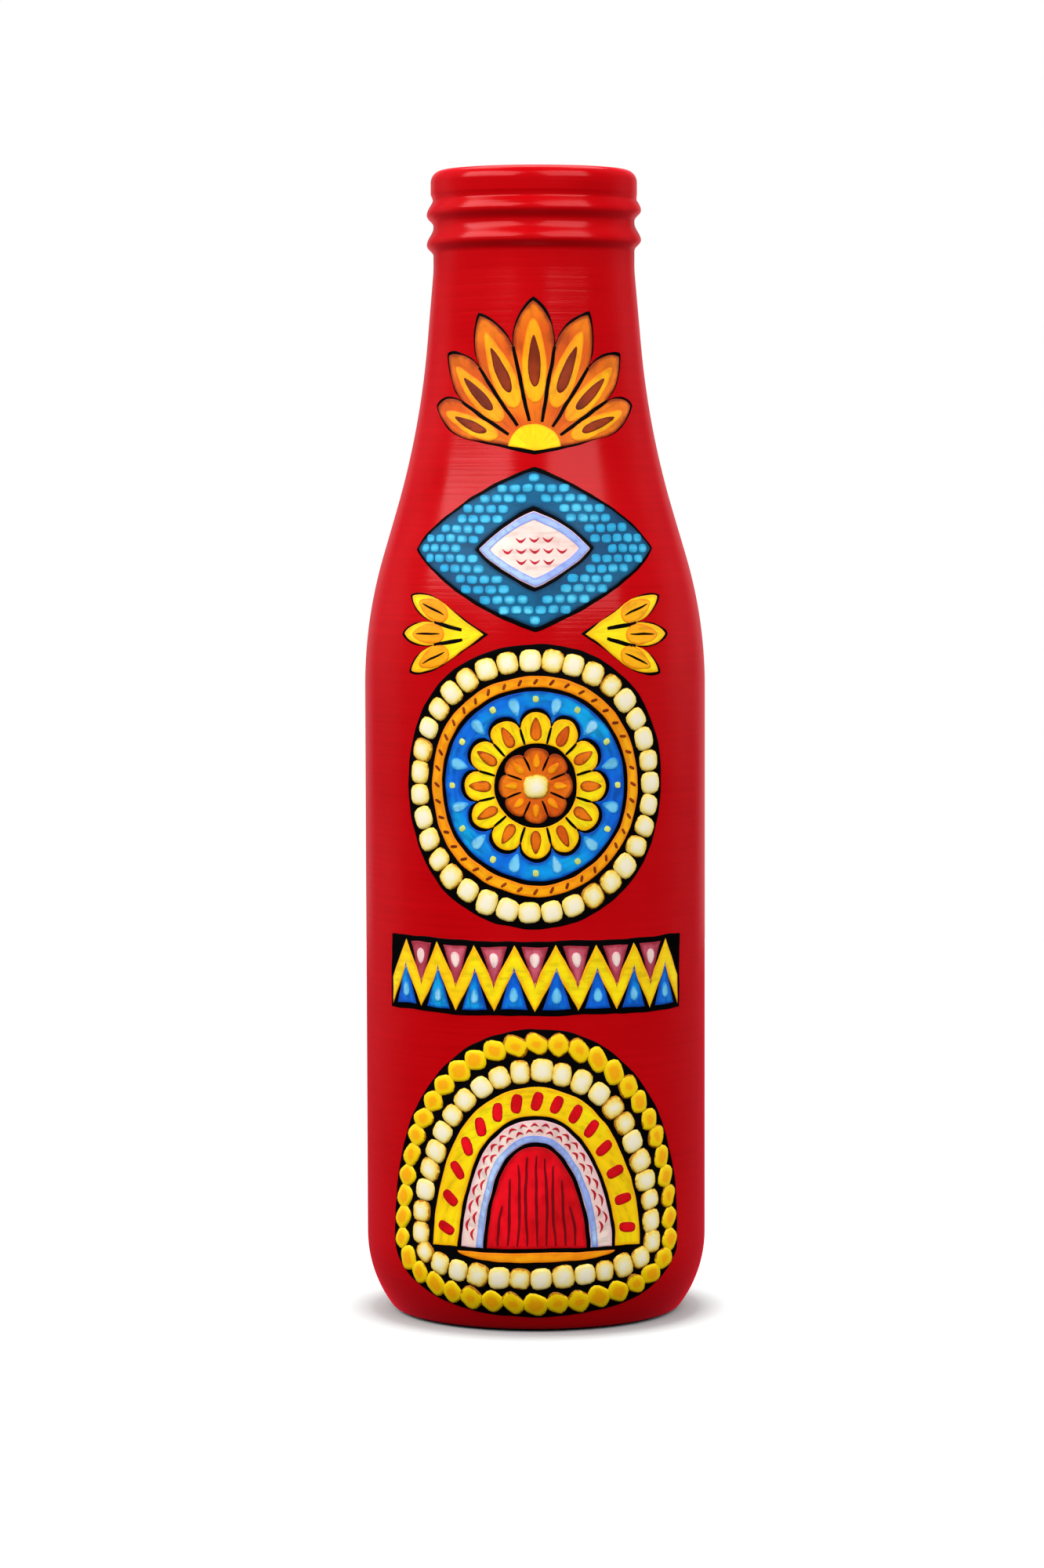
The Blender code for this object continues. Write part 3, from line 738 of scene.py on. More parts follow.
def lozenge(half_width, half_height, height, points=160):
    """A diamond with slightly full sides."""
    power = 2 / LOZENGE_FULLNESS
    loop = []
    for i in range(points):
        angle = 2 * pi * i / points
        side, rise = bent(cos(angle), power), bent(sin(angle), power)
        loop.append((half_width * side, height + half_height * rise))
    return loop


def in_lozenge(run, rise, half_width, half_height):
    """Whether a place, measured from the lozenge's middle, lies in it."""
    power = LOZENGE_FULLNESS
    return (abs(run) / half_width) ** power + (abs(rise) / half_height) ** power < 1


def leaned(points, centre, lean):
    """Local points (aside, along) set at the centre, with along leaned from up to the right."""
    return [
        (
            centre[0] + aside * cos(lean) + along * sin(lean),
            centre[1] - aside * sin(lean) + along * cos(lean),
        )
        for aside, along in points
    ]


def drop(centre, length, half_width, lean, points=22, tip=0.55):
    """A leaf or flame that is widest below its middle, pointed at its far end."""
    shape = []
    for i in range(points):
        angle = 2 * pi * i / points
        narrowing = 1 - tip * cos(angle)
        shape.append((half_width * sin(angle) * narrowing, length / 2 * cos(angle)))
    return leaned(shape, centre, lean)


def dab(centre, length, width, lean, points=14):
    """One touch of the brush, a rounded bar."""
    shape = []
    for i in range(points):
        angle = 2 * pi * (i + 0.5) / points
        shape.append((width / 2 * bent(sin(angle), 0.7), length / 2 * bent(cos(angle), 0.7)))
    return leaned(shape, centre, lean)


def stroke(start, end, bow, width, end_share=0.25, points=12):
    """A line drawn with the brush, bowed to one side and thinner at both ends."""
    length = dist(start, end)
    lean = atan2(end[0] - start[0], end[1] - start[1])
    left, right = [], []
    for i in range(points + 1):
        share = i / points
        half = width / 2 * (end_share + (1 - end_share) * sin(pi * share) ** 0.7)
        middle = bow * sin(pi * share)
        left.append((middle - half, length * share))
        right.append((middle + half, length * share))
    return leaned(left + right[::-1], start, lean)


def spoke(centre, near, far, angle, width, end_share, points):
    """A straight brush line that runs out from a centre, from one distance to another."""
    start, end = out_from(centre, near, angle), out_from(centre, far, angle)
    return stroke(start, end, 0, width, end_share, points)


def spaced(path, count):
    """Places at an even distance round a closed path, with the lean of the path at each."""
    samples = [path(i / 720) for i in range(721)]
    runs = [0.0]
    for a, b in zip(samples, samples[1:]):
        runs.append(runs[-1] + dist(a, b))
    found = []
    k = 0
    for i in range(count):
        run = runs[-1] * i / count
        while runs[k + 1] < run:
            k += 1
        a, b = samples[k], samples[k + 1]
        place = between(a, b, (run - runs[k]) / (runs[k + 1] - runs[k]))
        found.append((place, atan2(b[0] - a[0], b[1] - a[1])))
    return found


# Beads


def bead_form(half_width, half_length, out):
    """One bead on the bench: a rounded block, halved, its flat side down in the ground, with a
    squarish outline and a flat crown."""
    bpy.ops.mesh.primitive_cube_add(size=2, location=(0, 0, 0))
    bead = bpy.context.object
    soft = bead.modifiers.new("soft", "SUBSURF")
    soft.levels = soft.render_levels = 2
    apply(bead, soft)
    reach = max(vertex.co.x for vertex in bead.data.vertices)
    with editing(bead):
        bpy.ops.mesh.bisect(
            plane_co=(0, 0.001, 0), plane_no=(0, 1, 0), use_fill=True, clear_outer=True
        )
    inward = bead.data.attributes.new("inward", "FLOAT", "POINT")
    power = BEAD_SQUARENESS
    for vertex in bead.data.vertices:
        side, up = vertex.co.x / reach, vertex.co.z / reach
        away = hypot(side, up)
        inward.data[vertex.index].value = 1 - min(1, away)
        if away > 0:
            square = (abs(side / away) ** power + abs(up / away) ** power) ** (-1 / power)
            side, up = side * square, up * square
        crown = min(1, max(0, -vertex.co.y / reach)) ** 0.5
        vertex.co = (side * half_width, -crown * out, up * half_length)
    bead.data.attributes.new("tint", "FLOAT", "POINT")
    return bead


def string_of_beads(name, places, form, paint, *nodes, skew=0.0):
    """Beads along a path, each copied from one, a little unlike its neighbours."""
    chance = Random(name)
    first = bead_form(*form)
    beads = []
    for centre, lean in places:
        bead = first.copy()
        bead.data = first.data.copy()
        bpy.context.collection.objects.link(bead)
        tint = chance.random()
        for value in bead.data.attributes["tint"].data:
            value.value = tint
        turn = lean + skew + radians(chance.uniform(-8, 8))
        size = [chance.uniform(0.90, 1.06) for _ in range(3)]
        place = (
            centre[0] + chance.uniform(-BEAD_STRAY, BEAD_STRAY),
            -(GROUND_TOP - SUNK),
            centre[1] + chance.uniform(-BEAD_STRAY, BEAD_STRAY),
        )
        bead.matrix_world = (
            Matrix.Translation(place) @ Matrix.Rotation(turn, 4, "Y") @ Matrix.Diagonal((*size, 1))
        )
        beads.append(bead)
    bpy.data.objects.remove(first)
    pick(*beads)
    bpy.ops.object.join()
    piece = bpy.context.object
    piece.name = name
    piece.data.name = name
    bpy.ops.object.transform_apply(location=True, rotation=True, scale=True)
    lay_round(piece)
    material, slot = paint
    give_finish(piece, material, 60)
    hand_over(piece, slot, *nodes)


# Materials


def feed(tree, node, values):
    """Each of these inputs gets its value, a plain one or another node's output."""
    for name, value in values.items():
        if isinstance(value, bpy.types.NodeSocket):
            tree.links.new(value, node.inputs[name])
        else:
            node.inputs[name].default_value = value


def add_node(tree, kind, values, **settings):
    """A new node with these settings and inputs."""
    node = tree.nodes.new(kind)
    for name, value in settings.items():
        setattr(node, name, value)
    feed(tree, node, values)
    return node


def math_node(tree, operation, a, b):
    return add_node(tree, "ShaderNodeMath", {0: a, 1: b}, operation=operation).outputs["Value"]


def range_node(tree, source, low, high, to_low, to_high, curve="LINEAR"):
    """What the source gives from low to high, as values from another low to another high."""
    ends = {"From Min": low, "From Max": high, "To Min": to_low, "To Max": to_high}
    values = {"Value": source, **ends}
    node = add_node(tree, "ShaderNodeMapRange", values, interpolation_type=curve)
    return node.outputs["Result"]


class Nodes:
    """A material's nodes, made one by one from its shader back."""

    def __init__(self, name):
        self.material = bpy.data.materials.new(name)
        self.material.use_nodes = True
        self.tree = self.material.node_tree
        self.shader = self.tree.nodes["Principled BSDF"]
        self.coordinates = self.tree.nodes.new("ShaderNodeTexCoord")

    def noise(self, scale, detail=3.0, stretch=(1, 1, 1), uv=False):
        """Cloudy noise on the object's own place, or along the brush's course."""
        place = self.coordinates.outputs["Object"]
        if uv:
            place = add_node(self.tree, "ShaderNodeUVMap", {}, uv_map="brush").outputs["UV"]
        mapping = add_node(self.tree, "ShaderNodeMapping", {"Scale": stretch, "Vector": place})
        values = {"Scale": scale, "Detail": detail, "Vector": mapping.outputs["Vector"]}
        return add_node(self.tree, "ShaderNodeTexNoise", values).outputs["Fac"]

    def attribute(self, name):
        return add_node(self.tree, "ShaderNodeAttribute", {}, attribute_name=name).outputs["Fac"]

    def add(self, a, b):
        return math_node(self.tree, "ADD", a, b)

    def around(self, source, middle, amount):
        """The source's distance above a middle value, times an amount."""
        above = math_node(self.tree, "SUBTRACT", source, middle)
        return math_node(self.tree, "MULTIPLY", above, amount)

    def blended(self, first, share, second):
        """Two noises in one, with this share of the first."""
        weighed = math_node(self.tree, "MULTIPLY", first, share)
        return self.add(weighed, math_node(self.tree, "MULTIPLY", second, 1 - share))

    def ramp(self, source, stops):
        """The colour between stops (place, colour) where the source says."""
        node = add_node(self.tree, "ShaderNodeValToRGB", {"Fac": source})
        node.color_ramp.interpolation = "EASE"
        elements = node.color_ramp.elements
        while len(elements) < len(stops):
            elements.new(0.5)
        for element, (place, tone) in zip(elements, stops):
            element.position = place
            element.color = tone
        return node.outputs["Color"]

    def mix(self, way, share, first, second):
        """Two colours mixed or multiplied, with this share of the second."""
        values = {0: share, 6: first, 7: second}
        node = add_node(self.tree, "ShaderNodeMix", values, data_type="RGBA", blend_type=way)
        return node.outputs[2]

    def range(self, source, low, high):
        """The source's 0.3 to 0.7, where most of a noise lies, as low to high."""
        return range_node(self.tree, source, 0.3, 0.7, low, high, "SMOOTHSTEP")

    def bump(self, source, strength, depth, **below):
        """The surface's direction, ridged by the source, over an earlier one where given."""
        values = {"Strength": strength, "Distance": depth, "Height": source, **below}
        return add_node(self.tree, "ShaderNodeBump", values).outputs["Normal"]

    def finish(self, tone, roughness, normal, gloss, **more):
        """The material, once its shader has these inputs and any more named ones."""
        values = {"Base Color": tone, "Roughness": roughness, "Normal": normal}
        values["Specular IOR Level"] = gloss
        feed(self.tree, self.shader, {**values, **more})
        return self.material


def brushed_paint(name, slot, edge, main, other, streaks=0.20, gloss=0.16, rough=(0.40, 0.55)):
    """Hand-laid acrylic, as its material and slot: it drifts between two hues, with streaks
    along the brush's course, a deeper hue towards its outline, and a low ridged surface."""
    nodes = Nodes(name + "_finish")
    drift = nodes.noise(75, 2.0)
    along = nodes.noise(3.0, 4.0, (3.2, 0.35, 1), uv=True)
    cloud = nodes.noise(420, 3.0)
    fine = nodes.noise(2600, 2.0)
    hue = nodes.ramp(drift, [(0.38, srgb(*main)), (0.62, srgb(*other))])
    levels = [(0.38, grey(1 - streaks)), (0.50, grey(1)), (0.62, grey(1 + streaks / 2))]
    streaked = nodes.ramp(nodes.blended(along, 0.6, cloud), levels)
    tone = nodes.mix("MULTIPLY", 1, hue, streaked)
    inward = nodes.add(nodes.attribute("inward"), nodes.around(cloud, 0.5, 0.9))
    edge_share = nodes.ramp(inward, [(0.05, grey(1)), (0.80, grey(0))])
    tone = nodes.mix("MIX", edge_share, tone, srgb(*edge))
    normal = nodes.bump(along, 0.4, 0.00005)
    normal = nodes.bump(fine, 0.30, 0.00002, Normal=normal)
    return nodes.finish(tone, nodes.range(cloud, *rough), normal, gloss), slot + "_paint"


def bead_paint(name, slot, *tones):
    """A dot of paint, as its material and slot: deep at its outline and paler at its crown, no
    two quite alike. The tones run from the outline inwards."""
    nodes = Nodes(name + "_finish")
    cloud = nodes.noise(900, 3.0)
    own = nodes.around(nodes.attribute("tint"), 0.35, 0.26)
    uneven = nodes.add(nodes.around(cloud, 0.5, 0.5), own)
    inward = nodes.add(nodes.attribute("inward"), uneven)
    stops = [(place, srgb(*tone)) for place, tone in zip((0.00, 0.12, 0.40, 0.70), tones)]
    tone = nodes.ramp(inward, stops)
    normal = nodes.bump(cloud, 0.3, 0.00003)
    return nodes.finish(tone, nodes.range(cloud, 0.35, 0.50), normal, 0.16), slot + "_paint"


def enamel_paint():
    """The red coat: glossy with reddish lights, brushed round the bottle, with faint runs."""
    nodes = Nodes("red_enamel_finish")
    rings = nodes.noise(60, 4.0, (0.5, 0.5, 28))
    cloud = nodes.noise(45, 3.0)
    peel = nodes.noise(900, 2.0)
    reds = [(0.30, srgb(180, 0, 5)), (0.50, srgb(192, 0, 7)), (0.70, srgb(202, 0, 10))]
    tone = nodes.ramp(nodes.blended(rings, 0.5, cloud), reds)
    roughness = nodes.range(cloud, 0.15, 0.22)
    normal = nodes.bump(rings, 0.35, 0.00010)
    normal = nodes.bump(peel, 0.25, 0.00003, Normal=normal)
    lights = {"Specular Tint": srgb(255, 172, 174), "Sheen Tint": srgb(255, 40, 60)}
    sheen = {"Sheen Weight": 1, "Sheen Roughness": 0.40}
    return nodes.finish(tone, roughness, normal, 0.48, **lights, **sheen)


def bottle_glass():
    """Clear pressed glass with the faint waves of its mould."""
    nodes = Nodes("clear_glass_finish")
    waves = nodes.noise(55, 2.0, (1, 1, 0.5))
    seeds = nodes.noise(600, 2.0)
    tone = nodes.ramp(waves, [(0.3, srgb(236, 246, 242)), (0.7, srgb(246, 251, 249))])
    roughness = nodes.range(seeds, 0.02, 0.06)
    normal = nodes.bump(waves, 0.25, 0.0004)
    clear = {"Transmission Weight": 1, "IOR": 1.5}
    return nodes.finish(tone, roughness, normal, 0.5, **clear)


ENAMEL = enamel_paint()
GLASS = bottle_glass()
BLACK = brushed_paint(
    "black", "black", (4, 2, 3), (2, 1, 2), (6, 4, 6), gloss=0.05, rough=(0.45, 0.60)
)
ORANGE = brushed_paint("orange", "burnt_orange", (150, 52, 4), (240, 122, 8), (214, 84, 4))
RUST = brushed_paint("rust", "burnt_orange", (104, 30, 4), (156, 52, 6), (120, 36, 4))
AMBER = brushed_paint("amber", "amber", (242, 132, 0), (255, 178, 4), (255, 158, 0))
YELLOW = brushed_paint("yellow", "yellow", (254, 184, 0), (255, 228, 4), (255, 208, 0))
DEEP_TEAL = brushed_paint("deep_teal", "teal", (4, 58, 92), (10, 100, 142), (8, 72, 114))
CYAN = brushed_paint("cyan", "teal", (20, 142, 190), (92, 204, 232), (36, 166, 216))
PINK = brushed_paint("pink", "shell_pink", (236, 190, 196), (250, 226, 214), (242, 208, 200))
CORAL = brushed_paint("coral", "scarlet", (178, 14, 40), (214, 30, 52), (184, 18, 42))
LAVENDER = brushed_paint("lavender", "blue", (132, 152, 224), (180, 210, 248), (150, 172, 234))
DUSTY = brushed_paint("dusty_rose", "shell_pink", (158, 40, 58), (206, 92, 112), (176, 62, 80))
BLUE = brushed_paint("blue", "blue", (0, 74, 178), (0, 100, 218), (0, 164, 230), streaks=0.34)
SKY = brushed_paint("sky", "blue", (40, 150, 222), (112, 200, 240), (150, 218, 246))
LIME = brushed_paint("lime", "yellow", (150, 190, 110), (226, 232, 120), (196, 214, 120))
SCARLET = brushed_paint("scarlet", "scarlet", (186, 0, 14), (244, 2, 26), (214, 0, 14))
CRIMSON = brushed_paint("crimson", "scarlet", (120, 0, 12), (144, 0, 14), (112, 0, 8))
CREAM_BEAD = bead_paint(
    "cream_bead", "cream", (190, 124, 12), (248, 210, 84), (252, 236, 160), (253, 243, 214)
)
AMBER_BEAD = bead_paint(
    "amber_bead", "amber", (176, 108, 0), (255, 214, 10), (255, 212, 4), (255, 176, 8)
)


# The motifs


def make_egg():
    """The egg above the heel: a rope, pearls and two arches round pleats, over a boat."""
    height = 0.0170
    rays = from_point(0, height)
    ground("egg_ground", [oval(0.0323, 0.0425, 0.0138, height)])
    places = spaced(egg_path(0.0295, 0.0397, 0.0110, height), 42)
    skew = radians(32)
    string_of_beads("egg_rope_beads", places, ROPE_BEAD, AMBER_BEAD, "egg_rope", skew=skew)
    places = spaced(egg_path(0.02435, 0.03455, 0.00585, height), 35)
    string_of_beads("egg_pearl_beads", places, PEARL, CREAM_BEAD, "egg_pearls")
    colour("egg_boat", [arch(0.0156, -0.0019, height - 0.0008)], AMBER, across)
    band = arched_band((0.0212, 0.0314), (0.0156, 0.0258), height)
    colour("egg_yellow_arch", [band], YELLOW, round_point(0, height))
    dabs = []
    for i in range(15):
        centre = on_oval(0.0184, 0.0286, (0, height), radians(7 + 166 * i / 14))
        lean = atan2(centre[0], centre[1] - height) + radians(16)
        dabs.append(dab(centre, 0.0038, 0.0021, lean))
    detail("egg_arch_dabs", dabs, SCARLET, rays)
    band = arched_band((0.0148, 0.0250), (0.0104, 0.0206), height)
    colour("egg_textile_arch", [band], PINK, rays)
    edge = arched_band((0.0118, 0.0220), (0.0105, 0.0207), height)
    detail("egg_arch_line", [resampled(edge)], LAVENDER, rays)
    marks = []
    for row in range(2):
        size = (0.0124 + 0.0012 * row, 0.0226 + 0.0012 * row)
        for i in range(20):
            turn = radians(7 + 8.6 * (i + row / 2))
            if turn <= radians(172):
                start = on_oval(*size, (0, height), turn)
                end = on_oval(*size, (0, height), turn + radians(6.2))
                marks.append(stroke(start, end, 0.00050, 0.00054, points=7))
    detail("egg_textile_marks", marks, CORAL, rays, tiny=True)
    colour("egg_pleats", [arch(0.0096, 0.0198, height)], SCARLET, from_point(0, 0))
    folds = []
    for i in range(9):
        aside = (i - 4) / 4.6
        start = (0.0086 * aside, height + 0.0006)
        reach = 0.0194 * (1 - aside**2) ** 0.5 - 0.0012
        end = (0.0096 * aside * 0.80, height + reach)
        folds.append(stroke(start, end, 0.0003 * (i % 3 - 1), 0.00055, 0.5, points=16))
    detail("egg_pleat_folds", folds, CRIMSON)


def make_belt():
    """The belt: a yellow zigzag, with pink points down from above and blue ones up from below."""
    height = 0.0691
    right, low, high = 0.0328, height - 0.0072, height + 0.0072
    ground("belt_ground", [[(-right, low), (right, low), (right, high), (-right, high)]])
    reach, rise, line, folds = 0.0320, 0.0064, 0.0016, 8
    runs = [reach * (i / folds - 1) for i in range(2 * folds + 1)]
    half_line = line / 2 / cos(atan2(2 * rise, reach / folds))
    swing = rise - half_line
    top, bottom = [], []
    for i, run in enumerate(runs):
        middle = height + (swing if i % 2 else -swing)
        top.append((run, middle + half_line))
        bottom.append((run, middle - half_line))
    colour("belt_zigzag", [top + bottom[::-1]], YELLOW, across)

    def points_and_hearts(first, up):
        """Every second point from the first, up or down of the middle, and its inner flame."""
        base, tip = height + up * 0.0061, height - up * 0.0026
        points, hearts = [], []
        for run in runs[first:-1:2]:
            corners = [(run - 0.0026, base), (run + 0.0026, base), (run, tip)]
            points.append(resampled(corners, 0.0006))
            lean = 0 if up < 0 else pi
            hearts.append(drop((run, height + up * 0.0034), 0.0030, 0.0009, lean, 12, 0.3))
        return points, hearts

    pink, pink_hearts = points_and_hearts(2, 1)
    blue, blue_hearts = points_and_hearts(1, -1)
    colour_on_ground("belt_pink_points", pink, DUSTY)
    colour_on_ground("belt_blue_points", blue, BLUE)
    detail("belt_pink_flames", pink_hearts, PINK)
    detail("belt_blue_flames", blue_hearts, SKY)


def make_medallion():
    """The round medallion: pearls, an amber ring, a blue field, a flower and its rosette."""
    height = 0.1059
    centre = (0, height)
    rays = from_point(*centre)
    rounds = round_point(*centre)
    ground("medallion_ground", [circle(0.0272, height)])
    places = spaced(egg_path(0.02405, 0.02405, 0.02405, height), 35)
    string_of_beads("medallion_pearl_beads", places, PEARL, CREAM_BEAD, "medallion_pearls")
    ring = [circle(0.0209, height), circle(0.0187, height)]
    colour("medallion_amber_ring", ring, AMBER, rounds)
    dashes = [
        dab(out_from(centre, 0.0198, angle), 0.0014, 0.0006, angle + radians(35), 10)
        for angle in turns(40)
    ]
    detail("medallion_ring_dashes", dashes, RUST, tiny=True)
    flower = (0.0138, 0.80, 12, height)
    field = [circle(0.0179, height), lobed(*flower, OUTLINE_WIDTH)]
    colour("medallion_blue_field", field, BLUE, rounds)
    sky = [
        drop(out_from(centre, 0.0153, angle), 0.0036, 0.0010, angle + pi, 16, 0.45)
        for angle in turns(12, 0.5)
    ]
    detail("medallion_sky_drops", sky, SKY, rays)
    lime = [dab(out_from(centre, 0.0164, angle), 0.0013, 0.0012, angle, 10) for angle in turns(12)]
    detail("medallion_lime_dots", lime, LIME, rays, tiny=True)
    ring = [lobed(*flower), circle(0.0080, height, 120)]
    colour("medallion_petals", ring, YELLOW, rays)
    flames = [
        drop(out_from(centre, 0.0107, angle), 0.0044, 0.0010, angle, 18, 0.4)
        for angle in turns(12)
    ]
    detail("medallion_petal_flames", flames, ORANGE, rays)
    seams = [spoke(centre, 0.0081, 0.0112, angle, 0.00055, 0.6, 8) for angle in turns(12, 0.5)]
    detail("medallion_petal_seams", seams, BLACK, rays)
    rosette = lobed(0.0072, 0.84, 8, height)
    colour("medallion_rosette", [rosette], ORANGE, rays)
    seams = [spoke(centre, 0.0030, 0.0060, angle, 0.00045, 0.5, 8) for angle in turns(8, 0.5)]
    detail("rosette_seams", seams, BLACK, rays)
    flames = [
        drop(out_from(centre, 0.0047, angle), 0.0026, 0.00065, angle, 14, 0.4)
        for angle in turns(8)
    ]
    detail("rosette_flames", flames, AMBER, rays)
    string_of_beads("rosette_centre", [(centre, 0)], ROSETTE_BEAD, CREAM_BEAD)


def make_sprigs():
    """A leaf of three lobes on each side of the shoulder, its stalk end to the middle."""
    spread = radians(70)
    length, side_share = 0.0185, 0.92
    for side, name in ((-1, "left"), (1, "right")):
        foot = (side * 0.0098, 0.1348)
        lean = side * radians(91)
        shape = (foot, lean, length, 3, spread, side_share, 0.58, 1.3)
        rays = from_point(*foot)
        ground(name + "_sprig_ground", [fan(*shape, OUTLINE_WIDTH)])
        colour(name + "_sprig", [fan(*shape)], YELLOW, rays)
        flames, veins = [], []
        for aside in (-1 / 3, 0, 1 / 3):
            angle = lean + spread * aside
            reach = fan_length(length, side_share, aside)
            middle = out_from(foot, reach * 0.66, angle)
            flames.append(drop(middle, reach * 0.42, 0.0019, angle, 24, 0.35))
            veins.append(spoke(foot, reach * 0.50, reach * 0.82, angle, 0.00045, 0.3, 10))
        seams = []
        for aside in (-0.5, 0.5):
            angle = lean + spread * aside / 3
            seams.append(spoke(foot, 0.0045, 0.0108, angle, 0.0008, 0.7, 10))
        detail(name + "_sprig_flames", flames, AMBER, rays)
        detail(name + "_sprig_veins", veins, BLACK, rays, level=2)
        detail(name + "_sprig_seams", seams, BLACK, rays)


def make_lozenge():
    """The lozenge on the shoulder: rows of scales round a heart with three rows of marks."""
    height = 0.1509
    ground("lozenge_ground", [lozenge(0.0258, 0.0154, height)])
    field = [lozenge(0.0250, 0.0146, height), lozenge(0.0116, 0.0080, height)]
    colour("lozenge_field", field, DEEP_TEAL, across)
    scales = []
    rows = 15
    for row in range(rows):
        rise = (row - (rows - 1) / 2) * 0.0019
        for column in range(-10, 11):
            run = (column + (0.5 if row % 2 else 0)) * 0.0024
            in_field = in_lozenge(run, rise, 0.0240, 0.0136)
            if in_field and not in_lozenge(run, rise, 0.0134, 0.0096):
                scales.append(dab((run, height + rise), 0.0016, 0.0021, 0, 12))
    detail("lozenge_scales", scales, CYAN, across)
    colour("lozenge_heart", [lozenge(0.0108, 0.0072, height)], PINK, across)
    line = [lozenge(0.0106, 0.0070, height, 120), lozenge(0.0086, 0.0055, height, 120)]
    detail("lozenge_heart_line", line, LAVENDER, across)
    marks = []
    for row in range(-1, 2):
        level = height + row * 0.0021
        count = 5 - 2 * abs(row)
        for i in range(count):
            run = (i - (count - 1) / 2) * 0.0026
            start, end = (run - 0.0010, level), (run + 0.0010, level)
            marks.append(stroke(start, end, 0.00070, 0.00055, points=7))
    detail("lozenge_heart_marks", marks, CORAL, tiny=True)


def make_lotus():
    """The lotus on the neck: a wide fan of seven petals out of a seed."""
    foot = (0, 0.1695)
    spread = radians(160)
    length, side_share, notch, petals = 0.0288, 0.74, 0.70, 7
    rays = from_point(*foot)
    shape = (foot, 0, length, petals, spread, side_share, notch, 1.2)
    ground("lotus_ground", [fan(*shape, OUTLINE_WIDTH)])
    colour("lotus_petals", [fan(*shape)], ORANGE, rays)
    seams, hearts, flames = [], [], []
    for i in range(1, petals):
        aside = i / petals - 0.5
        reach = fan_length(length, side_share, aside) * notch + 0.0003
        seams.append(spoke(foot, 0.0058, reach, spread * aside, 0.0008, 0.7, 18))
    for i in range(petals):
        aside = (i + 0.5) / petals - 0.5
        angle = spread * aside
        reach = fan_length(length, side_share, aside)
        middle = out_from(foot, reach * 0.60, angle)
        hearts.append(drop(middle, reach * 0.56, 0.0023 * reach / length, angle, 30, 0.30))
        flames.append(drop(middle, reach * 0.34, 0.0011 * reach / length, angle, 24, 0.35))
    detail("lotus_petal_seams", seams, BLACK, rays)
    detail("lotus_petal_hearts", hearts, AMBER, rays)
    detail("lotus_petal_flames", flames, RUST, rays, level=2)
    seed = fan(foot, 0, 0.0052, 1, spread, 1.0, 0.98, 2.0, 0, 40)
    detail("lotus_seed", [resampled(seed, 0.0006)], YELLOW, rays)


# The room


def seen_rays(tree, path):
    """1 for what the eye sees, straight or through glass, and 0 for light on its way."""
    rays = (path.outputs["Is Camera Ray"], path.outputs["Is Transmission Ray"])
    return math_node(tree, "MAXIMUM", *rays)


def make_floor():
    """A round white table top. To the eye it glows, so that it ends in the white room unseen,
    and part of its lamplight is left, so that it keeps the bottle's shadow."""
    place = (0, 0, -0.00005)
    bpy.ops.mesh.primitive_circle_add(vertices=96, radius=0.7, fill_type="NGON", location=place)
    table = bpy.context.object
    table.name = "studio_table"
    material = bpy.data.materials.new("studio_table_finish")
    material.use_nodes = True
    tree = material.node_tree
    path = tree.nodes.new("ShaderNodeLightPath")
    matt = math_node(tree, "MULTIPLY", path.outputs["Is Camera Ray"], 0.50)
    matt = math_node(tree, "ADD", matt, 0.02)
    paper = tree.nodes["Principled BSDF"]
    feed(tree, paper, {"Base Color": matt, "Roughness": 1, "Specular IOR Level": 0})
    glow = add_node(tree, "ShaderNodeEmission", {"Strength": 1.20})
    position = tree.nodes.new("ShaderNodeTexCoord").outputs["Object"]
    away = add_node(tree, "ShaderNodeVectorMath", {0: position}, operation="LENGTH")
    from_foot = range_node(tree, away.outputs["Value"], 0.032, 0.041, 0, 1)
    share = math_node(tree, "MULTIPLY", seen_rays(tree, path), from_foot)
    values = {0: share, 1: paper.outputs["BSDF"], 2: glow.outputs["Emission"]}
    mix = add_node(tree, "ShaderNodeMixShader", values)
    feed(tree, tree.nodes["Material Output"], {"Surface": mix.outputs["Shader"]})
    table.data.materials.append(material)


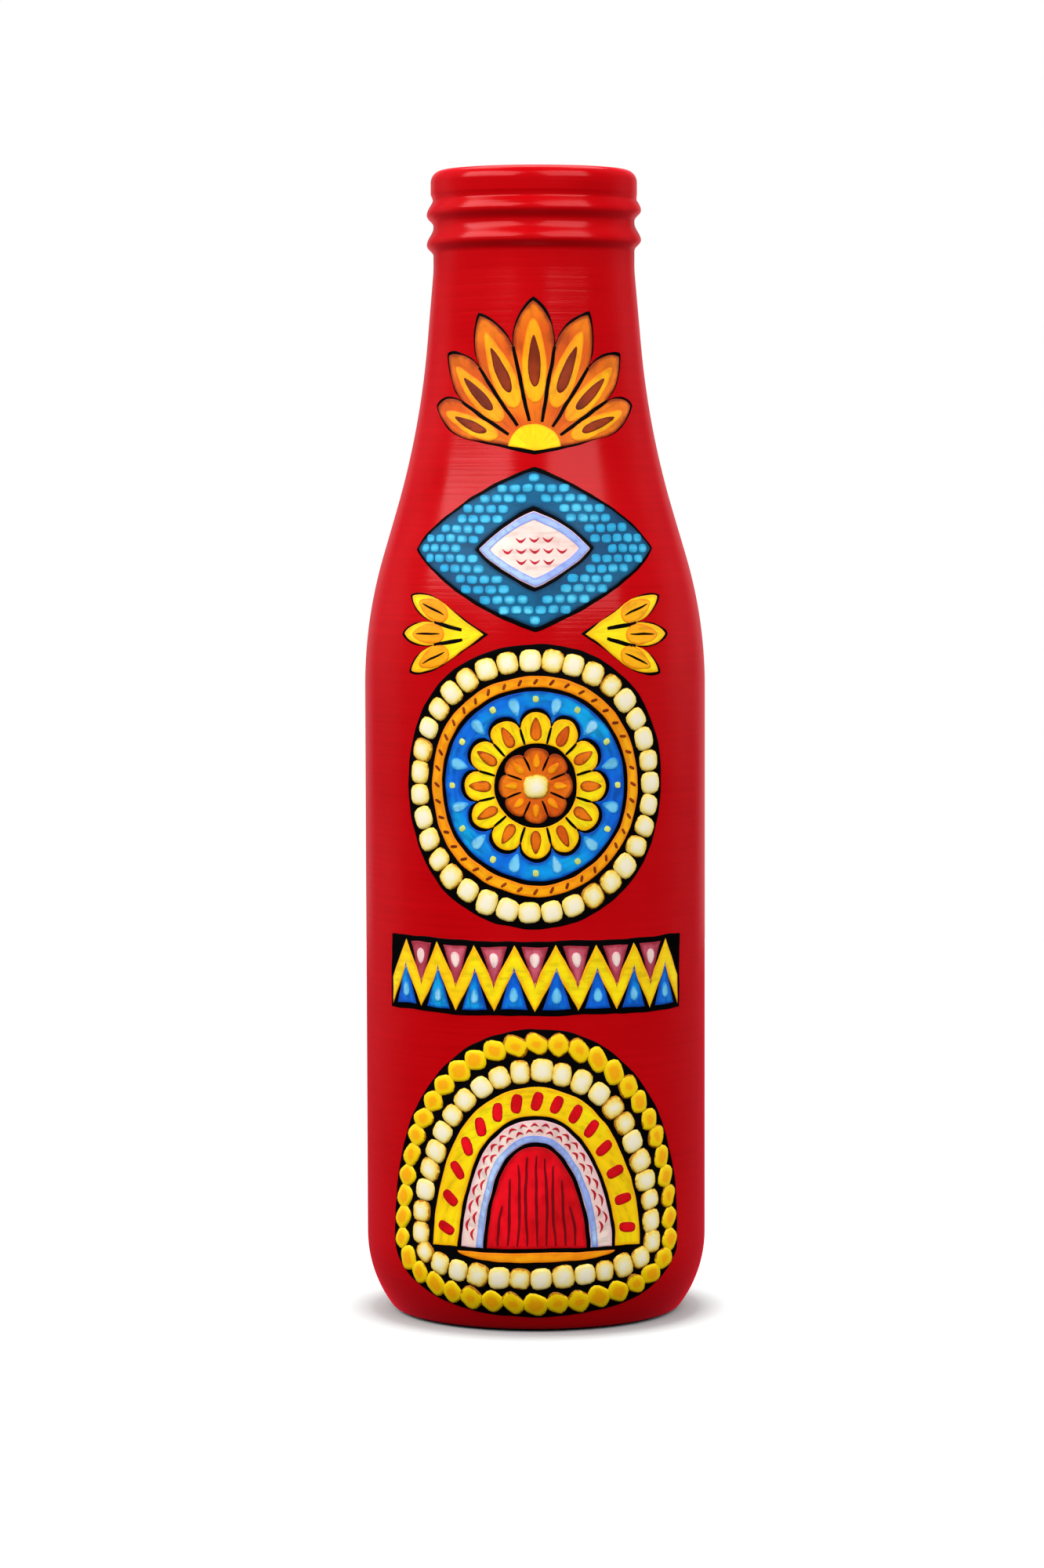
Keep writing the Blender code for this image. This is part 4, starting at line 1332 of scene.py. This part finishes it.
def make_world():
    """A room that is white to the eye and through glass. It gives an even low light, with more
    from both sides behind the bottle, and its gloss shows the white sweep behind it."""
    world = bpy.data.worlds.new("studio")
    bpy.context.scene.world = world
    world.use_nodes = True
    tree = world.node_tree
    path = tree.nodes.new("ShaderNodeLightPath")
    direction = tree.nodes.new("ShaderNodeTexCoord").outputs["Generated"]
    parts = add_node(tree, "ShaderNodeSeparateXYZ", {"Vector": direction})

    def backwards(near, far, near_level, far_level):
        """A level that changes between two values of the direction's part to the back."""
        return range_node(tree, parts.outputs["Y"], near, far, near_level, far_level)

    glossy = path.outputs["Is Glossy Ray"]
    gloss = math_node(tree, "MULTIPLY", glossy, backwards(0.78, 0.97, 0.01, 0.34))
    rise = backwards(0.25, 0.50, AMBIENT, SIDES)
    fall = backwards(0.55, 0.85, SIDES, BEHIND)
    matt = math_node(tree, "MINIMUM", rise, fall)
    matt = math_node(tree, "MULTIPLY", matt, math_node(tree, "SUBTRACT", 1, glossy))
    light = math_node(tree, "MAXIMUM", gloss, matt)
    strength = math_node(tree, "MAXIMUM", seen_rays(tree, path), light)
    feed(tree, tree.nodes["Background"], {"Color": (1, 1, 1, 1), "Strength": strength})


def make_lamp(name, azimuth, elevation, distance, size, power):
    """A softbox that faces the bottle's middle. Azimuth 0 is the front and 90 the right, in
    degrees, and the power is in watts."""
    lamp = bpy.data.lights.new(name, "AREA")
    lamp.shape = "RECTANGLE"
    lamp.size, lamp.size_y = size
    lamp.energy = power
    thing = bpy.data.objects.new(name, lamp)
    bpy.context.collection.objects.link(thing)
    aim = Vector((0, 0, BOTTLE_HEIGHT / 2))
    turn, rise = radians(azimuth), radians(elevation)
    back = Vector((sin(turn) * cos(rise), -cos(turn) * cos(rise), sin(rise)))
    facing = (-back).to_track_quat("-Z", "Y").to_matrix().to_4x4()
    thing.matrix_world = Matrix.Translation(aim + back * distance) @ facing


def make_camera():
    """The camera, as fitted to the photograph."""
    lens = bpy.data.cameras.new("photo_camera")
    lens.sensor_width = 36
    lens.lens = CAMERA_LENS
    lens.clip_start, lens.clip_end = 0.01, 100
    camera = bpy.data.objects.new("photo_camera", lens)
    bpy.context.collection.objects.link(camera)
    camera.matrix_world = (
        Matrix.Translation(CAMERA_PLACE)
        @ Matrix.Rotation(radians(CAMERA_YAW), 4, "Z")
        @ Matrix.Rotation(radians(90 + CAMERA_PITCH), 4, "X")
        @ Matrix.Rotation(radians(CAMERA_ROLL), 4, "Z")
    )
    bpy.context.scene.camera = camera


make_camera()
make_world()
make_floor()
make_lamp("key_softbox", -56, 39, distance=2.2, size=(2.50, 1.30), power=42)
make_lamp("fill_softbox", 39, 38, distance=2.2, size=(1.90, 1.60), power=28)
make_lamp("top_softbox", 180, 62, distance=1.5, size=(1.20, 0.90), power=7)
make_coat(ENAMEL)
make_glass(GLASS)
make_egg()
make_belt()
make_medallion()
make_sprigs()
make_lozenge()
make_lotus()

bpy.context.scene.view_settings.view_transform = "Standard"
